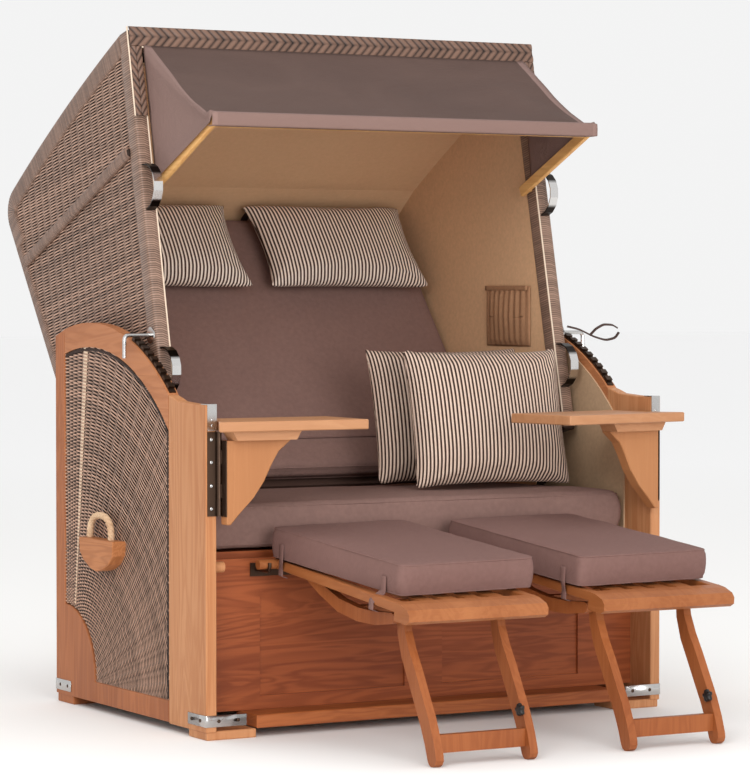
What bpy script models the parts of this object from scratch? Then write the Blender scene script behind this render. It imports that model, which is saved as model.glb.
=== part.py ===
# Hooded two-seat beach chair: a boarded base with woven side windows, a tilting woven hood,
# an awning, two swing trays and two folding footrests. Metres, +Z up, the seat faces -Y.
# Here y = 0 is the front of the base and z = 0 the floor; the whole chair is then moved so
# that the origin lies on the floor under the middle of its bounding box.
import math

import bmesh
import bpy
from mathutils import Matrix, Vector

for old in list(bpy.data.objects):
    bpy.data.objects.remove(old, do_unlink=True)

# Driving dimensions.
fit_gap = 0.0003            # between pieces that touch
joint_overlap = 0.003       # by which glued members of one piece reach into each other
weld_distance = 0.00001     # joins the loose caps of a curve
board_round = 0.002         # broken edge of the wooden boards

# Side frames of the base.
base_width = 1.200
base_depth = 0.811
post_height = 0.737
side_thickness = 0.026
front_board_width = 0.188
rear_post_width = 0.054
arch_board_width = 0.057
arm_flat_length = 0.060     # level part of the arm, under the cap
arm_end_y = 0.139
arm_rise = 0.004
arm_blend_rise = 0.011
pivot_y = 0.610             # hood pivot, the centre of the arch
pivot_z = 0.270
arch_radius = 0.642
arch_steps = 22
foot_height = 0.020
foot_length_x = 0.125
foot_length_y = 0.094
sill_top = 0.069
corner_block_radius = 0.170
corner_steps = 8
corner_relief = 0.004       # of the window's corners beside the rounded block
side_weave_recess = 0.006   # weave behind the outer face of the frame
lining_thickness = 0.004
lining_front_y = 0.110
lining_top_drop = 0.020
lining_bottom_z = 0.046

# Front and rear of the base.
front_sill_bottom = 0.0203
front_sill_top = 0.050
front_panel_y = 0.085
front_panel_top = 0.390
panel_frame_thickness = 0.006
panel_back_thickness = 0.012
panel_stile = 0.150
panel_mullion = 0.100
panel_rail_bottom = 0.030
panel_rail_top = 0.073
rear_panel_inset = 0.022    # from the rear of the base
rear_panel_thickness = 0.018
rear_panel_top = 0.580

# Seat.
seat_top = 0.520
seat_thickness = 0.115
seat_front_y = 0.087
seat_back_y = 0.560
seat_ear_back_y = 0.190
seat_side_gap = 0.0117      # seat beside the lining
seat_hood_gap = 0.0136      # seat beside the hood
seat_crown = 0.006
seat_edge = 0.012
seat_board_thickness = 0.0194

# Metalwork of the base.
cap_thickness = 0.0015
cap_bottom = 0.680
cap_reach = 0.030
rack_width = 0.016
rack_base = 0.003
rack_tooth = 0.006
rack_teeth = 9
rack_tooth_share = 0.55
rack_start_angle = 20.0
rack_end_angle = 40.5
hinge_leaf = 0.002
hinge_knuckle_radius = 0.0057
hinge_bottom = 0.493
hinge_top = 0.678
hinge_axis_inset = 0.002
hinge_knuckles = 5
hinge_leaf_width = 0.023
peg_radius = 0.012
peg_length = 0.033
peg_y = 0.035
peg_z = 0.378
hook_wire = 0.004
hook_plate_thickness = 0.003
hook_plate_height = 0.030

# Rope handles.
rope_block_length = 0.190
rope_block_y = 0.420
rope_block_top = 0.410
rope_block_height = 0.075
rope_block_depth = 0.036
rope_radius = 0.0075
rope_rise = 0.060
rope_span = 0.120
rope_offset = 0.010

# Hood.
hood_side_gap = 0.048       # from the outer face of the base to the hood
hood_top_y = 0.508
hood_top_z = 1.600
hood_front_lean = 12.5
hood_front_bottom_z = 0.650
knee_y = 1.240
knee_z = 1.205
knee_radius = 0.060
hood_top_bulge = 0.012
hood_back_lean = 37.0
hood_back_bottom_z = 0.480
post_thickness = 0.0304     # X size of the front posts
post_depth = 0.043
hood_shell_thickness = 0.014
side_recess = 0.006         # side weave behind the edge of the shell
edge_rail_depth = 0.046
ceiling_drop = 0.068
ceiling_clear = 0.012       # lining board above the back cushion
board_thickness = 0.010
top_beam_height = 0.042
braid_thickness = 0.008
braid_length = 0.215
diagonal_width = 0.025
diagonal_height = 0.014
diagonal_front_z = 1.3085
diagonal_back_y = 1.091
diagonal_back_z = 1.059
ear_radius = 0.040
ear_steps = 8
hole_steps = 16
pivot_bolt_radius = 0.006
bolt_clear = 0.0006

# Cushions and pillows.
cushion_edge = 0.012
back_cushion_thickness = 0.070
back_hood_gap = 0.0096      # back cushion beside the hood
back_low_y = 0.598
back_low_z = 0.558
back_high_y = 1.101
back_high_z = 1.183
back_crown = 0.008
back_sink = 0.0010
headrest_half_width = 0.240
headrest_half_height = 0.140
headrest_thickness = 0.100
headrest_centre = 0.655     # up the back cushion, from its lower end
headrest_sink = 0.0058
throw_half_width = 0.225
throw_half_height = 0.172
throw_thickness = 0.120
throw_rear_x = 0.278
throw_rear_y = 0.440
throw_front_x = 0.275
throw_front_y = 0.255
throw_lean = 12.0
throw_sink = 0.0077         # the rounded lower edge lies below the cage

# Levers and handles.
rosette_radius = 0.019
rosette_thickness = 0.005
lever_clear = 0.0033        # lever above the teeth of the rail
lever_radius = 0.005
lever_reach = 0.070
lever_drop = 0.052
handle_width = 0.022
handle_thickness = 0.003
handle_height = 0.110
handle_reach = 0.058
handle_drop = 0.169         # from the lower end of the braid to the middle of the upper handle
handle_low_z = 0.805

# Awning.
awning_pivot_z = 1.241
awning_pivot_depth = 0.020
awning_arm_length = 0.312
awning_arm_angle = 24.6
awning_arm_width = 0.026
awning_arm_thickness = 0.012
awning_gap = 0.0156         # awning beside the hood
awning_bar = 0.020
awning_pin_radius = 0.005
cloth_thickness = 0.003
cloth_clear = 0.004
cloth_meet = 0.0015          # middle of the cloth before the braid, where it is nailed on
cloth_valance = 0.026
cloth_sag = 0.022
cloth_fold = 0.004
gusset_gap_share = 0.60

# Swing trays.
tray_top = 0.702
tray_thickness = 0.022
tray_length = 0.329
tray_post_gap = 0.009       # tray beside the front post
tray_nose = 0.042           # reach of the tray past its edge, before the post
tray_front_y = -0.080
tray_back_y = 0.120
tray_neck = 0.010
tray_neck_y = -0.012
cleat_height = 0.020
cleat_depth = 0.050
cleat_slant = 0.014
cleat_back_gap = 0.002
bracket_thickness = 0.030
bracket_bottom = 0.475
bracket_reach = 0.160
tray_right_turn = 10.7      # the right tray is swung forward a little

# Footrests.
footrest_centre_x = 0.241
footrest_half_width = 0.1705
footrest_slope = 5.5
footrest_axis_y = 0.032
footrest_axis_z = 0.3795
footrest_length = 0.596     # from the dowel's axis to the front face
rail_tail = 0.013           # of the side rails behind the axis
rail_size = 0.022
front_bar_depth = 0.062
front_bar_height = 0.040
rear_bar_y = -0.020
slat_count = 4
slat_width = 0.036
slat_thickness = 0.010
slat_side_gap = 0.002
slat_drop = 0.002
dowel_radius = 0.011
dowel_overhang = 0.045
leg_thickness = 0.019
leg_width = 0.038
leg_outer_offset = 0.1245   # outer face of the front legs, from the footrest's middle
leg_bolt_distance = 0.4755
leg_bolt_drop = 0.007
leg_forward = 0.134
leg_cross_thickness = 0.016
leg_cross_height = 0.038
cross_share = 0.84
rear_leg_outer_offset = 0.1465
rear_leg_bolt_distance = 0.0955
rear_leg_bolt_drop = 0.007
rear_leg_length = 0.387
rear_leg_belly = 0.046
rear_leg_width = 0.030
bolt_radius = 0.004
pad_half_width = 0.1715
pad_centre_x = 0.2135
pad_thickness = 0.068
pad_length = 0.522
pad_tail = 0.020            # of the pad behind the dowel's axis
pad_crown = 0.006
pad_sink = 0.0030           # the rounded underside lies above the cage

half = base_width / 2
frame_x0 = half - side_thickness            # inner face of the side frames
lining_x1 = frame_x0 - fit_gap
lining_x0 = lining_x1 - lining_thickness
rear_post_y = base_depth - rear_post_width
on_foot = foot_height + fit_gap
in_foot = foot_height - joint_overlap
hood_half_width = half - hood_side_gap
hood_inner_x = hood_half_width - post_thickness
rear_panel_y = base_depth - rear_panel_inset
seat_half_wide = lining_x0 - seat_side_gap
seat_half_narrow = hood_inner_x - seat_hood_gap
back_half_width = hood_inner_x - back_hood_gap
headrest_offset_x = back_half_width / 2
awning_half_width = hood_inner_x - awning_gap
tray_outer_x = frame_x0 - tray_post_gap
tray_inner_x = tray_outer_x - tray_length
tray_nose_x = tray_outer_x + tray_nose
tray_neck_x = tray_outer_x + tray_neck


# Helpers for making boards, rods, turned pieces and soft forms.
def axes(x, y, z, origin=(0, 0, 0)):
    """A placing matrix whose columns are the world directions of local X, Y and Z."""
    m = Matrix((x, y, z)).transposed().to_4x4()
    m.translation = origin
    return m


FLAT = Matrix.Identity(4)
SIDE = axes((0, 1, 0), (0, 0, 1), (1, 0, 0))        # local X, Y, Z -> world Y, Z, X
FRONT = axes((1, 0, 0), (0, 0, 1), (0, -1, 0))      # local X, Y, Z -> world X, Z, -Y
ALONG_X = axes((0, 0, -1), (0, 1, 0), (1, 0, 0))    # local Z -> world X


def leaning(origin, degrees):
    """A frame at origin, turned about X so that its Z leans back by the given angle."""
    return Matrix.Translation(origin) @ Matrix.Rotation(-math.radians(degrees), 4, "X")


def evaluated(obj):
    """The object's mesh with its modifiers and its placing applied; the object is removed."""
    mesh = bpy.data.meshes.new_from_object(obj.evaluated_get(bpy.context.evaluated_depsgraph_get()))
    mesh.transform(obj.matrix_world)
    if obj.matrix_world.is_negative:
        mesh.flip_normals()
    bpy.data.objects.remove(obj, do_unlink=True)
    return mesh


def link(data, place=FLAT):
    obj = bpy.data.objects.new("piece", data)
    bpy.context.scene.collection.objects.link(obj)
    obj.matrix_world = place
    bpy.context.view_layer.update()
    return obj


def bevelled(obj, width):
    if width:
        bevel = obj.modifiers.new("edge", "BEVEL")
        bevel.width = width
        bevel.segments = 1
        bevel.limit_method = "ANGLE"
        bevel.angle_limit = math.radians(50)
        bpy.context.view_layer.update()
    return evaluated(obj)


def box(lo, hi, round_by=0.0, place=FLAT):
    lo, hi = Vector(lo), Vector(hi)
    bm = bmesh.new()
    bmesh.ops.create_cube(bm, size=1.0)
    bmesh.ops.scale(bm, vec=hi - lo, verts=bm.verts)
    bmesh.ops.translate(bm, vec=(lo + hi) / 2, verts=bm.verts)
    mesh = bpy.data.meshes.new("box")
    bm.to_mesh(mesh)
    bm.free()
    return bevelled(link(mesh, place), round_by)


def curve_mesh(curve, place):
    """A curve as a closed mesh: its loose caps are welded on."""
    mesh = evaluated(link(curve, place))
    bm = bmesh.new()
    bm.from_mesh(mesh)
    bmesh.ops.remove_doubles(bm, verts=bm.verts, dist=weld_distance)
    bmesh.ops.dissolve_degenerate(bm, edges=bm.edges, dist=weld_distance)
    bm.to_mesh(mesh)
    bm.free()
    return mesh


def plate(outline, low, high, place=SIDE, holes=(), round_by=0.0):
    """A board cut to an outline, from low to high along the frame's third axis."""
    curve = bpy.data.curves.new("outline", "CURVE")
    curve.dimensions = "2D"
    curve.fill_mode = "BOTH"
    curve.extrude = (high - low) / 2
    for loop in (outline, *holes):
        spline = curve.splines.new("POLY")
        spline.points.add(len(loop) - 1)
        for point, (a, b) in zip(spline.points, loop):
            point.co = (a, b, 0, 1)
        spline.use_cyclic_u = True
    mesh = curve_mesh(curve, place @ Matrix.Translation((0, 0, (low + high) / 2)))
    return bevelled(link(mesh), round_by) if round_by else mesh


def tube(points, radius, place=FLAT, fine=1):
    """A round bar, rod or rope along the points, with filled ends."""
    curve = bpy.data.curves.new("route", "CURVE")
    curve.dimensions = "3D"
    curve.bevel_depth = radius
    curve.bevel_resolution = fine
    curve.use_fill_caps = True
    spline = curve.splines.new("POLY")
    spline.points.add(len(points) - 1)
    for point, co in zip(spline.points, points):
        point.co = (*co, 1)
    return curve_mesh(curve, place)


def drum(radius, low, high, place=FLAT, sides=16):
    """A cylinder from low to high along the frame's third axis."""
    bm = bmesh.new()
    bmesh.ops.create_cone(bm, cap_ends=True, segments=sides, radius1=radius, radius2=radius,
                          depth=high - low)
    bmesh.ops.translate(bm, vec=(0, 0, (low + high) / 2), verts=bm.verts)
    mesh = bpy.data.meshes.new("drum")
    bm.to_mesh(mesh)
    bm.free()
    return evaluated(link(mesh, place))


def turned(profile, place=FLAT, steps=16):
    """A solid of revolution about the frame's third axis, its profile from top to bottom."""
    mesh = bpy.data.meshes.new("profile")
    mesh.from_pydata([(r, 0, z) for r, z in profile],
                     [(i, i + 1) for i in range(len(profile) - 1)], [])
    obj = link(mesh, place)
    screw = obj.modifiers.new("turn", "SCREW")
    screw.steps = screw.render_steps = steps
    screw.use_merge_vertices = True
    screw.merge_threshold = weld_distance
    bpy.context.view_layer.update()
    return evaluated(obj)


def mirrored(mesh):
    """The same piece on the other side of the chair."""
    other = mesh.copy()
    other.transform(Matrix.Scale(-1, 4, (1, 0, 0)))
    other.flip_normals()
    return other


def pair(mesh):
    return [mesh, mirrored(mesh)]


def slab(xs, ys, thickness, shape, place=FLAT, keep=None, level=1):
    """A soft form: a coarse grid cage, thickened in two layers, shaped and subdivided.
    shape(x, y, layer) gives the cage point, with layer -1, 0 or 1 for bottom, middle, top."""
    bm = bmesh.new()
    bmesh.ops.create_grid(bm, x_segments=len(xs) - 1, y_segments=len(ys) - 1, size=1.0)
    for v in bm.verts:
        column = round((v.co.x + 1) / 2 * (len(xs) - 1))
        row = round((v.co.y + 1) / 2 * (len(ys) - 1))
        v.co = (xs[column], ys[row], -1)
    if keep:
        drop = [f for f in bm.faces if not keep(*f.calc_center_median().xy)]
        bmesh.ops.delete(bm, geom=drop, context="FACES")
    bmesh.ops.reverse_faces(bm, faces=bm.faces)
    region = bm.faces[:]
    for inner in (False, True):
        made = bmesh.ops.extrude_face_region(bm, geom=region, use_keep_orig=True)
        if inner:
            bmesh.ops.delete(bm, geom=region, context="FACES_ONLY")
        region = [g for g in made["geom"] if isinstance(g, bmesh.types.BMFace)]
        layer = [g for g in made["geom"] if isinstance(g, bmesh.types.BMVert)]
        bmesh.ops.translate(bm, vec=(0, 0, 1), verts=layer)
    bmesh.ops.recalc_face_normals(bm, faces=bm.faces)
    for v in bm.verts:
        x, y, layer = v.co
        x, y, z = shape(x, y, round(layer))
        v.co = (x, y, z * thickness)
    mesh = bpy.data.meshes.new("soft")
    bm.to_mesh(mesh)
    bm.free()
    obj = link(mesh, place)
    if level:
        smooth = obj.modifiers.new("soft", "SUBSURF")
        smooth.levels = smooth.render_levels = level
        bpy.context.view_layer.update()
    return evaluated(obj)


def cushion(half_x, half_y, thickness, crown, cuts_x, cuts_y, place, edge):
    """A boxed cushion: a crown on its faces and sides drawn in at the middle."""
    def spread(h, cuts):
        inner = [-h + edge + (2 * h - 2 * edge) * i / cuts for i in range(cuts + 1)]
        return [-h, *inner, h]

    def shape(x, y, layer):
        u, v = x / half_x, y / half_y
        bulge = crown * (1 - u * u) * (1 - v * v)
        z = layer / 2 + (layer * bulge / thickness)
        draw = edge * (0.0 if layer else 0.25)
        return x - math.copysign(draw, x) * (abs(u) > 0.999), y - math.copysign(draw, y) * (abs(v) > 0.999), z

    return slab(spread(half_x, cuts_x), spread(half_y, cuts_y), thickness, shape, place)


def pillow(half_x, half_y, thickness, place, cuts=6):
    """A loose pillow: full in the middle, thin at its seam, its sides drawn in between corners."""
    draw_share, seam_share, corner_share = 0.09, 0.09, 0.55

    def shape(x, y, layer):
        u, v = x / half_x, y / half_y
        full = max(0.0, (1 - u ** 4) * (1 - v ** 4)) ** corner_share
        z = layer * (seam_share + (1 - seam_share) * full) / 2
        return (x * (1 - draw_share * (1 - v * v) * u * u), y * (1 - draw_share * (1 - u * u) * v * v), z)

    def spread(h):
        return [h * math.sin(math.pi / 2 * (2 * i / cuts - 1)) for i in range(cuts + 1)]

    return slab(spread(half_x), spread(half_y), thickness, shape, place)


chair = bpy.data.collections.new("hooded_beach_chair")
bpy.context.scene.collection.children.link(chair)


def joint(name, location, parent=None):
    """An empty on a joint's axis, which carries the pieces that move there."""
    empty = bpy.data.objects.new(name, None)
    chair.objects.link(empty)
    empty.location = location
    if parent:
        empty.parent = parent
        bpy.context.view_layer.update()
        empty.matrix_parent_inverse = parent.matrix_world.inverted()
    bpy.context.view_layer.update()
    return empty


def material(name, color, roughness, metallic=0.0):
    mat = bpy.data.materials.new(name)
    mat.use_nodes = True
    shader = mat.node_tree.nodes["Principled BSDF"]
    shader.inputs["Base Color"].default_value = (*[(c / 255) ** 2.2 for c in color], 1)
    shader.inputs["Roughness"].default_value = roughness
    shader.inputs["Metallic"].default_value = metallic
    mat.diffuse_color = shader.inputs["Base Color"].default_value
    return mat


def fused(first, *others):
    """One solid from pieces that reach into each other: glued, welded or sewn on the real chair."""
    obj = link(first.copy())
    joined = [link(mesh.copy()) for mesh in others]
    for other in joined:
        union = obj.modifiers.new("join", "BOOLEAN")
        union.operation = "UNION"
        union.solver = "EXACT"
        union.object = other
    bpy.context.view_layer.update()
    mesh = evaluated(obj)
    for other in joined:
        bpy.data.objects.remove(other, do_unlink=True)
    return mesh


def node(name, mesh, carrier, color, roughness=0.6, metallic=0.0, smooth=False):
    """One named piece, carried by the empty of its moving body."""
    mesh = mesh.copy()
    mesh.name = name
    if smooth:
        mesh.shade_smooth()
        mesh.set_sharp_from_angle(angle=math.radians(40))
    else:
        mesh.shade_flat()
    mesh.materials.clear()
    mesh.materials.append(material(name, color, roughness, metallic))
    obj = bpy.data.objects.new(name, mesh)
    chair.objects.link(obj)
    obj.parent = carrier
    bpy.context.view_layer.update()
    obj.matrix_parent_inverse = carrier.matrix_world.inverted()
    return obj


def both(name, mesh, carrier, *look, smooth=False):
    """The piece on the right and its mirror image on the left."""
    node(name + "_left", mirrored(mesh), carrier, *look, smooth=smooth)
    node(name + "_right", mesh, carrier, *look, smooth=smooth)


def arc(centre, radius, start, end, steps):
    """Points on an arc in the side view; angles from the vertical, positive towards the front."""
    out = []
    for i in range(steps + 1):
        a = math.radians(start + (end - start) * i / steps)
        out.append((centre[0] - radius * math.sin(a), centre[1] + radius * math.cos(a)))
    return out


WOOD, TRAY_WOOD, BRACKET_WOOD, PANEL_WOOD = (194, 138, 101), (197, 154, 122), (195, 137, 93), (132, 71, 43)
ARCH_WOOD, LEG_WOOD, WEAVE, FAN, CLOTH = (178, 116, 78), (204, 145, 117), (119, 94, 80), (112, 84, 71), (126, 99, 92)
STEEL, BLACK, LINING, STRIPED = (200, 200, 202), (49, 38, 30), (140, 106, 80), (165, 140, 122)
DARK_METAL = (0.4, 0.65)      # roughness and metallic
CREAM, BRAID, PAD_CLOTH = (214, 190, 170), (118, 94, 84), (135, 102, 94)

base = joint("base_frame", (0, 0, 0))
pivot = (pivot_y, pivot_z)


def angle_at(y, radius):
    """Angle on the arch at which a circle about the pivot reaches the given y."""
    return math.degrees(math.asin((pivot_y - y) / radius))


# Base: the side frames
inner_radius = arch_radius - arch_board_width
board_top = arc(pivot, arch_radius, angle_at(front_board_width, arch_radius), 0, 1)[0][1]
front_post = plate([(0, in_foot), (front_board_width, in_foot), (front_board_width, board_top),
                    ((arm_end_y + front_board_width) / 2, post_height + arm_blend_rise),
                    (arm_end_y, post_height + arm_rise), (arm_flat_length, post_height),
                    (0, post_height)], frame_x0, half, round_by=board_round)
foot = box((half - foot_length_x, joint_overlap, 0), (half - joint_overlap, foot_length_y, foot_height), board_round)
peg = drum(peg_radius, frame_x0 - peg_length, frame_x0 + joint_overlap,
           Matrix.Translation((0, peg_y, peg_z)) @ ALONG_X)
both("front_post", fused(front_post, foot, peg), base, WOOD, 0.55)

y0, y1 = front_board_width + fit_gap, rear_post_y - fit_gap
arch = plate(arc(pivot, arch_radius, angle_at(y0, arch_radius), angle_at(y1, arch_radius), arch_steps)
             + arc(pivot, inner_radius, angle_at(y1, inner_radius), angle_at(y0, inner_radius), arch_steps),
             frame_x0, half, round_by=board_round)
both("arch", arch, base, ARCH_WOOD, 0.55)

# rear corner: the post, the sill, the rounded block in their corner and the foot, glued into one frame
rear_tops = arc(pivot, arch_radius, angle_at(base_depth, arch_radius), angle_at(rear_post_y, arch_radius), 1)
rear_outline = [(y0, on_foot), (base_depth, on_foot), *rear_tops]
rear_outline += [(rear_post_y - corner_block_radius * math.sin(math.pi / 2 * i / corner_steps),
                  sill_top + corner_block_radius * math.cos(math.pi / 2 * i / corner_steps))
                 for i in range(corner_steps + 1)]
rear_outline += [(y0, sill_top)]
rear_foot = box((half - foot_length_x, base_depth - foot_length_y, 0),
                (half - joint_overlap, base_depth - joint_overlap, foot_height + joint_overlap), board_round)
both("rear_frame", fused(plate(rear_outline, frame_x0, half, round_by=board_round), rear_foot), base,
     ARCH_WOOD, 0.55)

# the woven windows fill the side frames up to their inner edges, on a lining board inside
window_radius = inner_radius - fit_gap
cut_radius = corner_block_radius + fit_gap
wy0, wy1, wz = y0 + fit_gap, rear_post_y - fit_gap, sill_top + fit_gap
window = arc(pivot, window_radius, angle_at(wy0, window_radius), angle_at(wy1, window_radius), arch_steps)
window += [(rear_post_y - cut_radius * math.sin(math.pi / 2 * i / corner_steps),
            sill_top + cut_radius * math.cos(math.pi / 2 * i / corner_steps)) for i in range(1, corner_steps)]
window.insert(-corner_steps + 1, (wy1, sill_top + cut_radius + corner_relief))
window += [(rear_post_y - cut_radius - corner_relief, wz)]
window += [(wy0, wz)]
lining_radius = arch_radius - lining_top_drop
lining_back_y = rear_panel_y - fit_gap
liner = [(lining_back_y, lining_bottom_z), (lining_front_y, lining_bottom_z)]
liner += arc(pivot, lining_radius, angle_at(lining_front_y, lining_radius), angle_at(lining_back_y, lining_radius),
             arch_steps)
both("side_weave", fused(plate(liner, lining_x0, lining_x1),
                         plate(window, lining_x1 - joint_overlap, half - side_weave_recess)), base, FAN, 0.75)

# Base: sill, panels, seat
inside_x = frame_x0 - fit_gap
panel_back_y = front_panel_y + panel_frame_thickness + panel_back_thickness
node("front_sill", box((-half + foot_length_x + fit_gap, 0, front_sill_bottom),
                       (half - foot_length_x - fit_gap, panel_back_y, front_sill_top), board_round), base, WOOD, 0.55)
panel_z0 = front_sill_top + fit_gap
hole_z0, hole_z1 = panel_z0 + panel_rail_bottom, front_panel_top - panel_rail_top
openings = [[(s * panel_mullion / 2, hole_z0), (s * (inside_x - panel_stile), hole_z0),
             (s * (inside_x - panel_stile), hole_z1), (s * panel_mullion / 2, hole_z1)] for s in (-1, 1)]
panel_outline = [(-inside_x, panel_z0), (inside_x, panel_z0), (inside_x, front_panel_top),
                 (-inside_x, front_panel_top)]
panel_frame = plate(panel_outline, -front_panel_y - panel_frame_thickness - joint_overlap, -front_panel_y, FRONT,
                    openings)
panel_board = box((-inside_x + joint_overlap, front_panel_y + panel_frame_thickness, panel_z0 + joint_overlap),
                  (inside_x - joint_overlap, panel_back_y, front_panel_top - joint_overlap))
node("front_panel", fused(panel_frame, panel_board), base, PANEL_WOOD, 0.5)
node("rear_panel", box((-inside_x, rear_panel_y, foot_height + joint_overlap + fit_gap),
                       (inside_x, rear_panel_y + rear_panel_thickness, rear_panel_top), board_round),
     base, PANEL_WOOD, 0.5)
behind_panel = panel_back_y + fit_gap
board_z1 = seat_top - seat_thickness - fit_gap
board_z0 = board_z1 - seat_board_thickness
rear_board_y = rear_panel_y - fit_gap
seat_plan = [(-seat_half_narrow, rear_board_y), (-seat_half_narrow, seat_ear_back_y),
             (-seat_half_wide, seat_ear_back_y), (-seat_half_wide, behind_panel),
             (seat_half_wide, behind_panel), (seat_half_wide, seat_ear_back_y),
             (seat_half_narrow, seat_ear_back_y), (seat_half_narrow, rear_board_y)]
node("seat_board", plate(seat_plan, board_z0, board_z1, FLAT), base, PANEL_WOOD, 0.6)

seat_z = seat_top - seat_thickness / 2
seat_xs = [-seat_half_wide, -seat_half_wide + seat_edge, -seat_half_narrow, -seat_half_narrow / 2]
seat_xs = seat_xs + [0] + [-x for x in reversed(seat_xs)]
seat_ys = [seat_front_y, seat_front_y + seat_edge, seat_ear_back_y - seat_edge, seat_ear_back_y,
           (seat_ear_back_y + seat_back_y) / 2, seat_back_y - seat_edge, seat_back_y]


def seat_shape(x, y, layer):
    u = x / seat_half_wide
    v = 2 * (y - seat_front_y) / (seat_back_y - seat_front_y) - 1
    droop = seat_crown * (1 - (1 - u * u) * (1 - v * v)) if layer > 0 else 0
    draw = seat_edge / 3 if layer == 0 else 0
    x = x - math.copysign(draw, x) if abs(u) > 0.999 else x
    y = y + draw if v < -0.999 else y
    return x, y, layer / 2 - droop / seat_thickness


seat = slab(seat_xs, seat_ys, seat_thickness, seat_shape, Matrix.Translation((0, 0, seat_z)),
            keep=lambda x, y: abs(x) < seat_half_narrow or y < seat_ear_back_y)
node("seat_cushion", seat, base, CLOTH, 0.9, smooth=True)

# Base: metalwork and rope handles
rack = []
rack_in = arch_radius + fit_gap
for i in range(rack_teeth):
    step = (rack_end_angle - rack_start_angle) / rack_teeth
    low, high = rack_start_angle + i * step, rack_start_angle + (i + rack_tooth_share) * step
    rack += arc(pivot, rack_in + rack_base + rack_tooth, low, high, 1)
    rack += arc(pivot, rack_in + rack_base, high, low + step, 1)
rack += arc(pivot, rack_in, rack_end_angle, rack_start_angle, rack_teeth)
rack_mid = (frame_x0 + half) / 2
both("toothed_rail", plate(rack, rack_mid - rack_width / 2, rack_mid + rack_width / 2), base, BLACK, *DARK_METAL)

cap_top = post_height + fit_gap
cap = [(-fit_gap - cap_thickness, cap_bottom), (-fit_gap, cap_bottom), (-fit_gap, cap_top), (cap_reach, cap_top),
       (cap_reach, cap_top + cap_thickness), (-fit_gap - cap_thickness, cap_top + cap_thickness)]
both("post_cap", plate(cap, frame_x0, frame_x0 + hinge_leaf_width), base, STEEL, 0.25, 1.0)

hinge_x = frame_x0 - hinge_axis_inset
hinge_y = -fit_gap - hinge_leaf - hinge_knuckle_radius
hinge_place = Matrix.Translation((hinge_x, hinge_y, 0))
knuckle = (hinge_top - hinge_bottom) / hinge_knuckles


def knuckle_span(i):
    return hinge_bottom + i * knuckle + fit_gap, hinge_bottom + (i + 1) * knuckle


def knuckles(odd, tongue):
    """Every other knuckle of the hinge, each with the tongue that joins it to its leaf."""
    out = []
    for i in range(odd, hinge_knuckles, 2):
        z0, z1 = knuckle_span(i)
        out.append(drum(hinge_knuckle_radius, z0, z1, hinge_place))
        (ax, ay), (bx, by) = tongue
        out.append(box((ax, ay, z0 + joint_overlap), (bx, by, z1 - joint_overlap)))
    return out


post_tongue = ((hinge_x, hinge_y), (frame_x0 + hinge_leaf, -fit_gap - hinge_leaf / 2))
post_leaf = box((frame_x0, -fit_gap - hinge_leaf, hinge_bottom), (frame_x0 + hinge_leaf_width, -fit_gap, hinge_top))
both("post_hinge", fused(post_leaf, *knuckles(0, post_tongue)), base, BLACK, *DARK_METAL)

rope_x0 = half - side_weave_recess + fit_gap
rope_x = rope_x0 + rope_block_depth / 2
rope_mid_y = rope_block_y + rope_block_length / 2
block_shares = [(0.0, 0.0), (0.02, 0.45), (0.14, 0.72), (0.32, 0.92), (0.5, 1.0), (0.68, 0.92), (0.86, 0.72),
                (0.98, 0.45), (1.0, 0.0)]
rope_outline = [(rope_block_y + a * rope_block_length, rope_block_top - b * rope_block_height)
                for a, b in block_shares]
both("rope_block", plate(rope_outline, rope_x0, rope_x0 + rope_block_depth, round_by=board_round), base, WOOD, 0.5)
rope_steps = 14
rope_foot = rope_block_top + fit_gap
rope_route = []
for i in range(rope_steps + 1):
    along = math.pi * min(max(i, 1), rope_steps - 1) / rope_steps
    lift = rope_radius * min(1, i, rope_steps - i)
    rope_route.append((rope_x, rope_mid_y + rope_offset - rope_span / 2 * math.cos(along),
                       rope_foot + lift + (rope_rise - 2 * rope_radius) * math.sin(along) * (lift > 0)))
both("carry_rope", tube(rope_route, rope_radius, fine=2), base, CREAM, 0.9, smooth=True)

# Base: the loose pillows
pillow_z = seat_top + throw_half_height - throw_sink
rear_tilt = leaning((throw_rear_x, throw_rear_y, pillow_z), throw_lean)
front_tilt = leaning((throw_front_x, throw_front_y, pillow_z), throw_lean)
for name, tilt in (("throw_pillow_rear", rear_tilt), ("throw_pillow_front", front_tilt)):
    node(name, pillow(throw_half_width, throw_half_height, throw_thickness, tilt @ FRONT), base, STRIPED, 0.9,
         smooth=True)

# Base: hooks for the footrests
hook_turn = dowel_radius + fit_gap + hook_wire
hook_low = footrest_axis_z - hook_turn
hook_x = footrest_half_width + dowel_overhang / 2
hook_y = front_panel_y - fit_gap - hook_plate_thickness
hook_plate = box((-hook_x - hook_plate_height / 2, hook_y, hook_low - hook_plate_height / 2),
                 (hook_x + hook_plate_height / 2, front_panel_y - fit_gap, hook_low + hook_plate_height / 2))
hook_steps = 6
hook_route = [(hook_x, hook_y + hook_plate_thickness / 2, hook_low)]
hook_route += [(hook_x, footrest_axis_y - hook_turn * math.sin(math.pi / 2 * i / hook_steps),
                footrest_axis_z - hook_turn * math.cos(math.pi / 2 * i / hook_steps)) for i in range(hook_steps + 1)]
hook_route += [(hook_x, footrest_axis_y - hook_turn, footrest_axis_z + hook_wire)]
hook_pair = fused(hook_plate, *pair(tube(hook_route, hook_wire, fine=2)))
for side, name in ((-1, "footrest_hook_left"), (1, "footrest_hook_right")):
    placed_hook = hook_pair.copy()
    placed_hook.transform(Matrix.Translation((side * footrest_centre_x, 0, 0)))
    node(name, placed_hook, base, STEEL, 0.3, 1.0)

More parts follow.
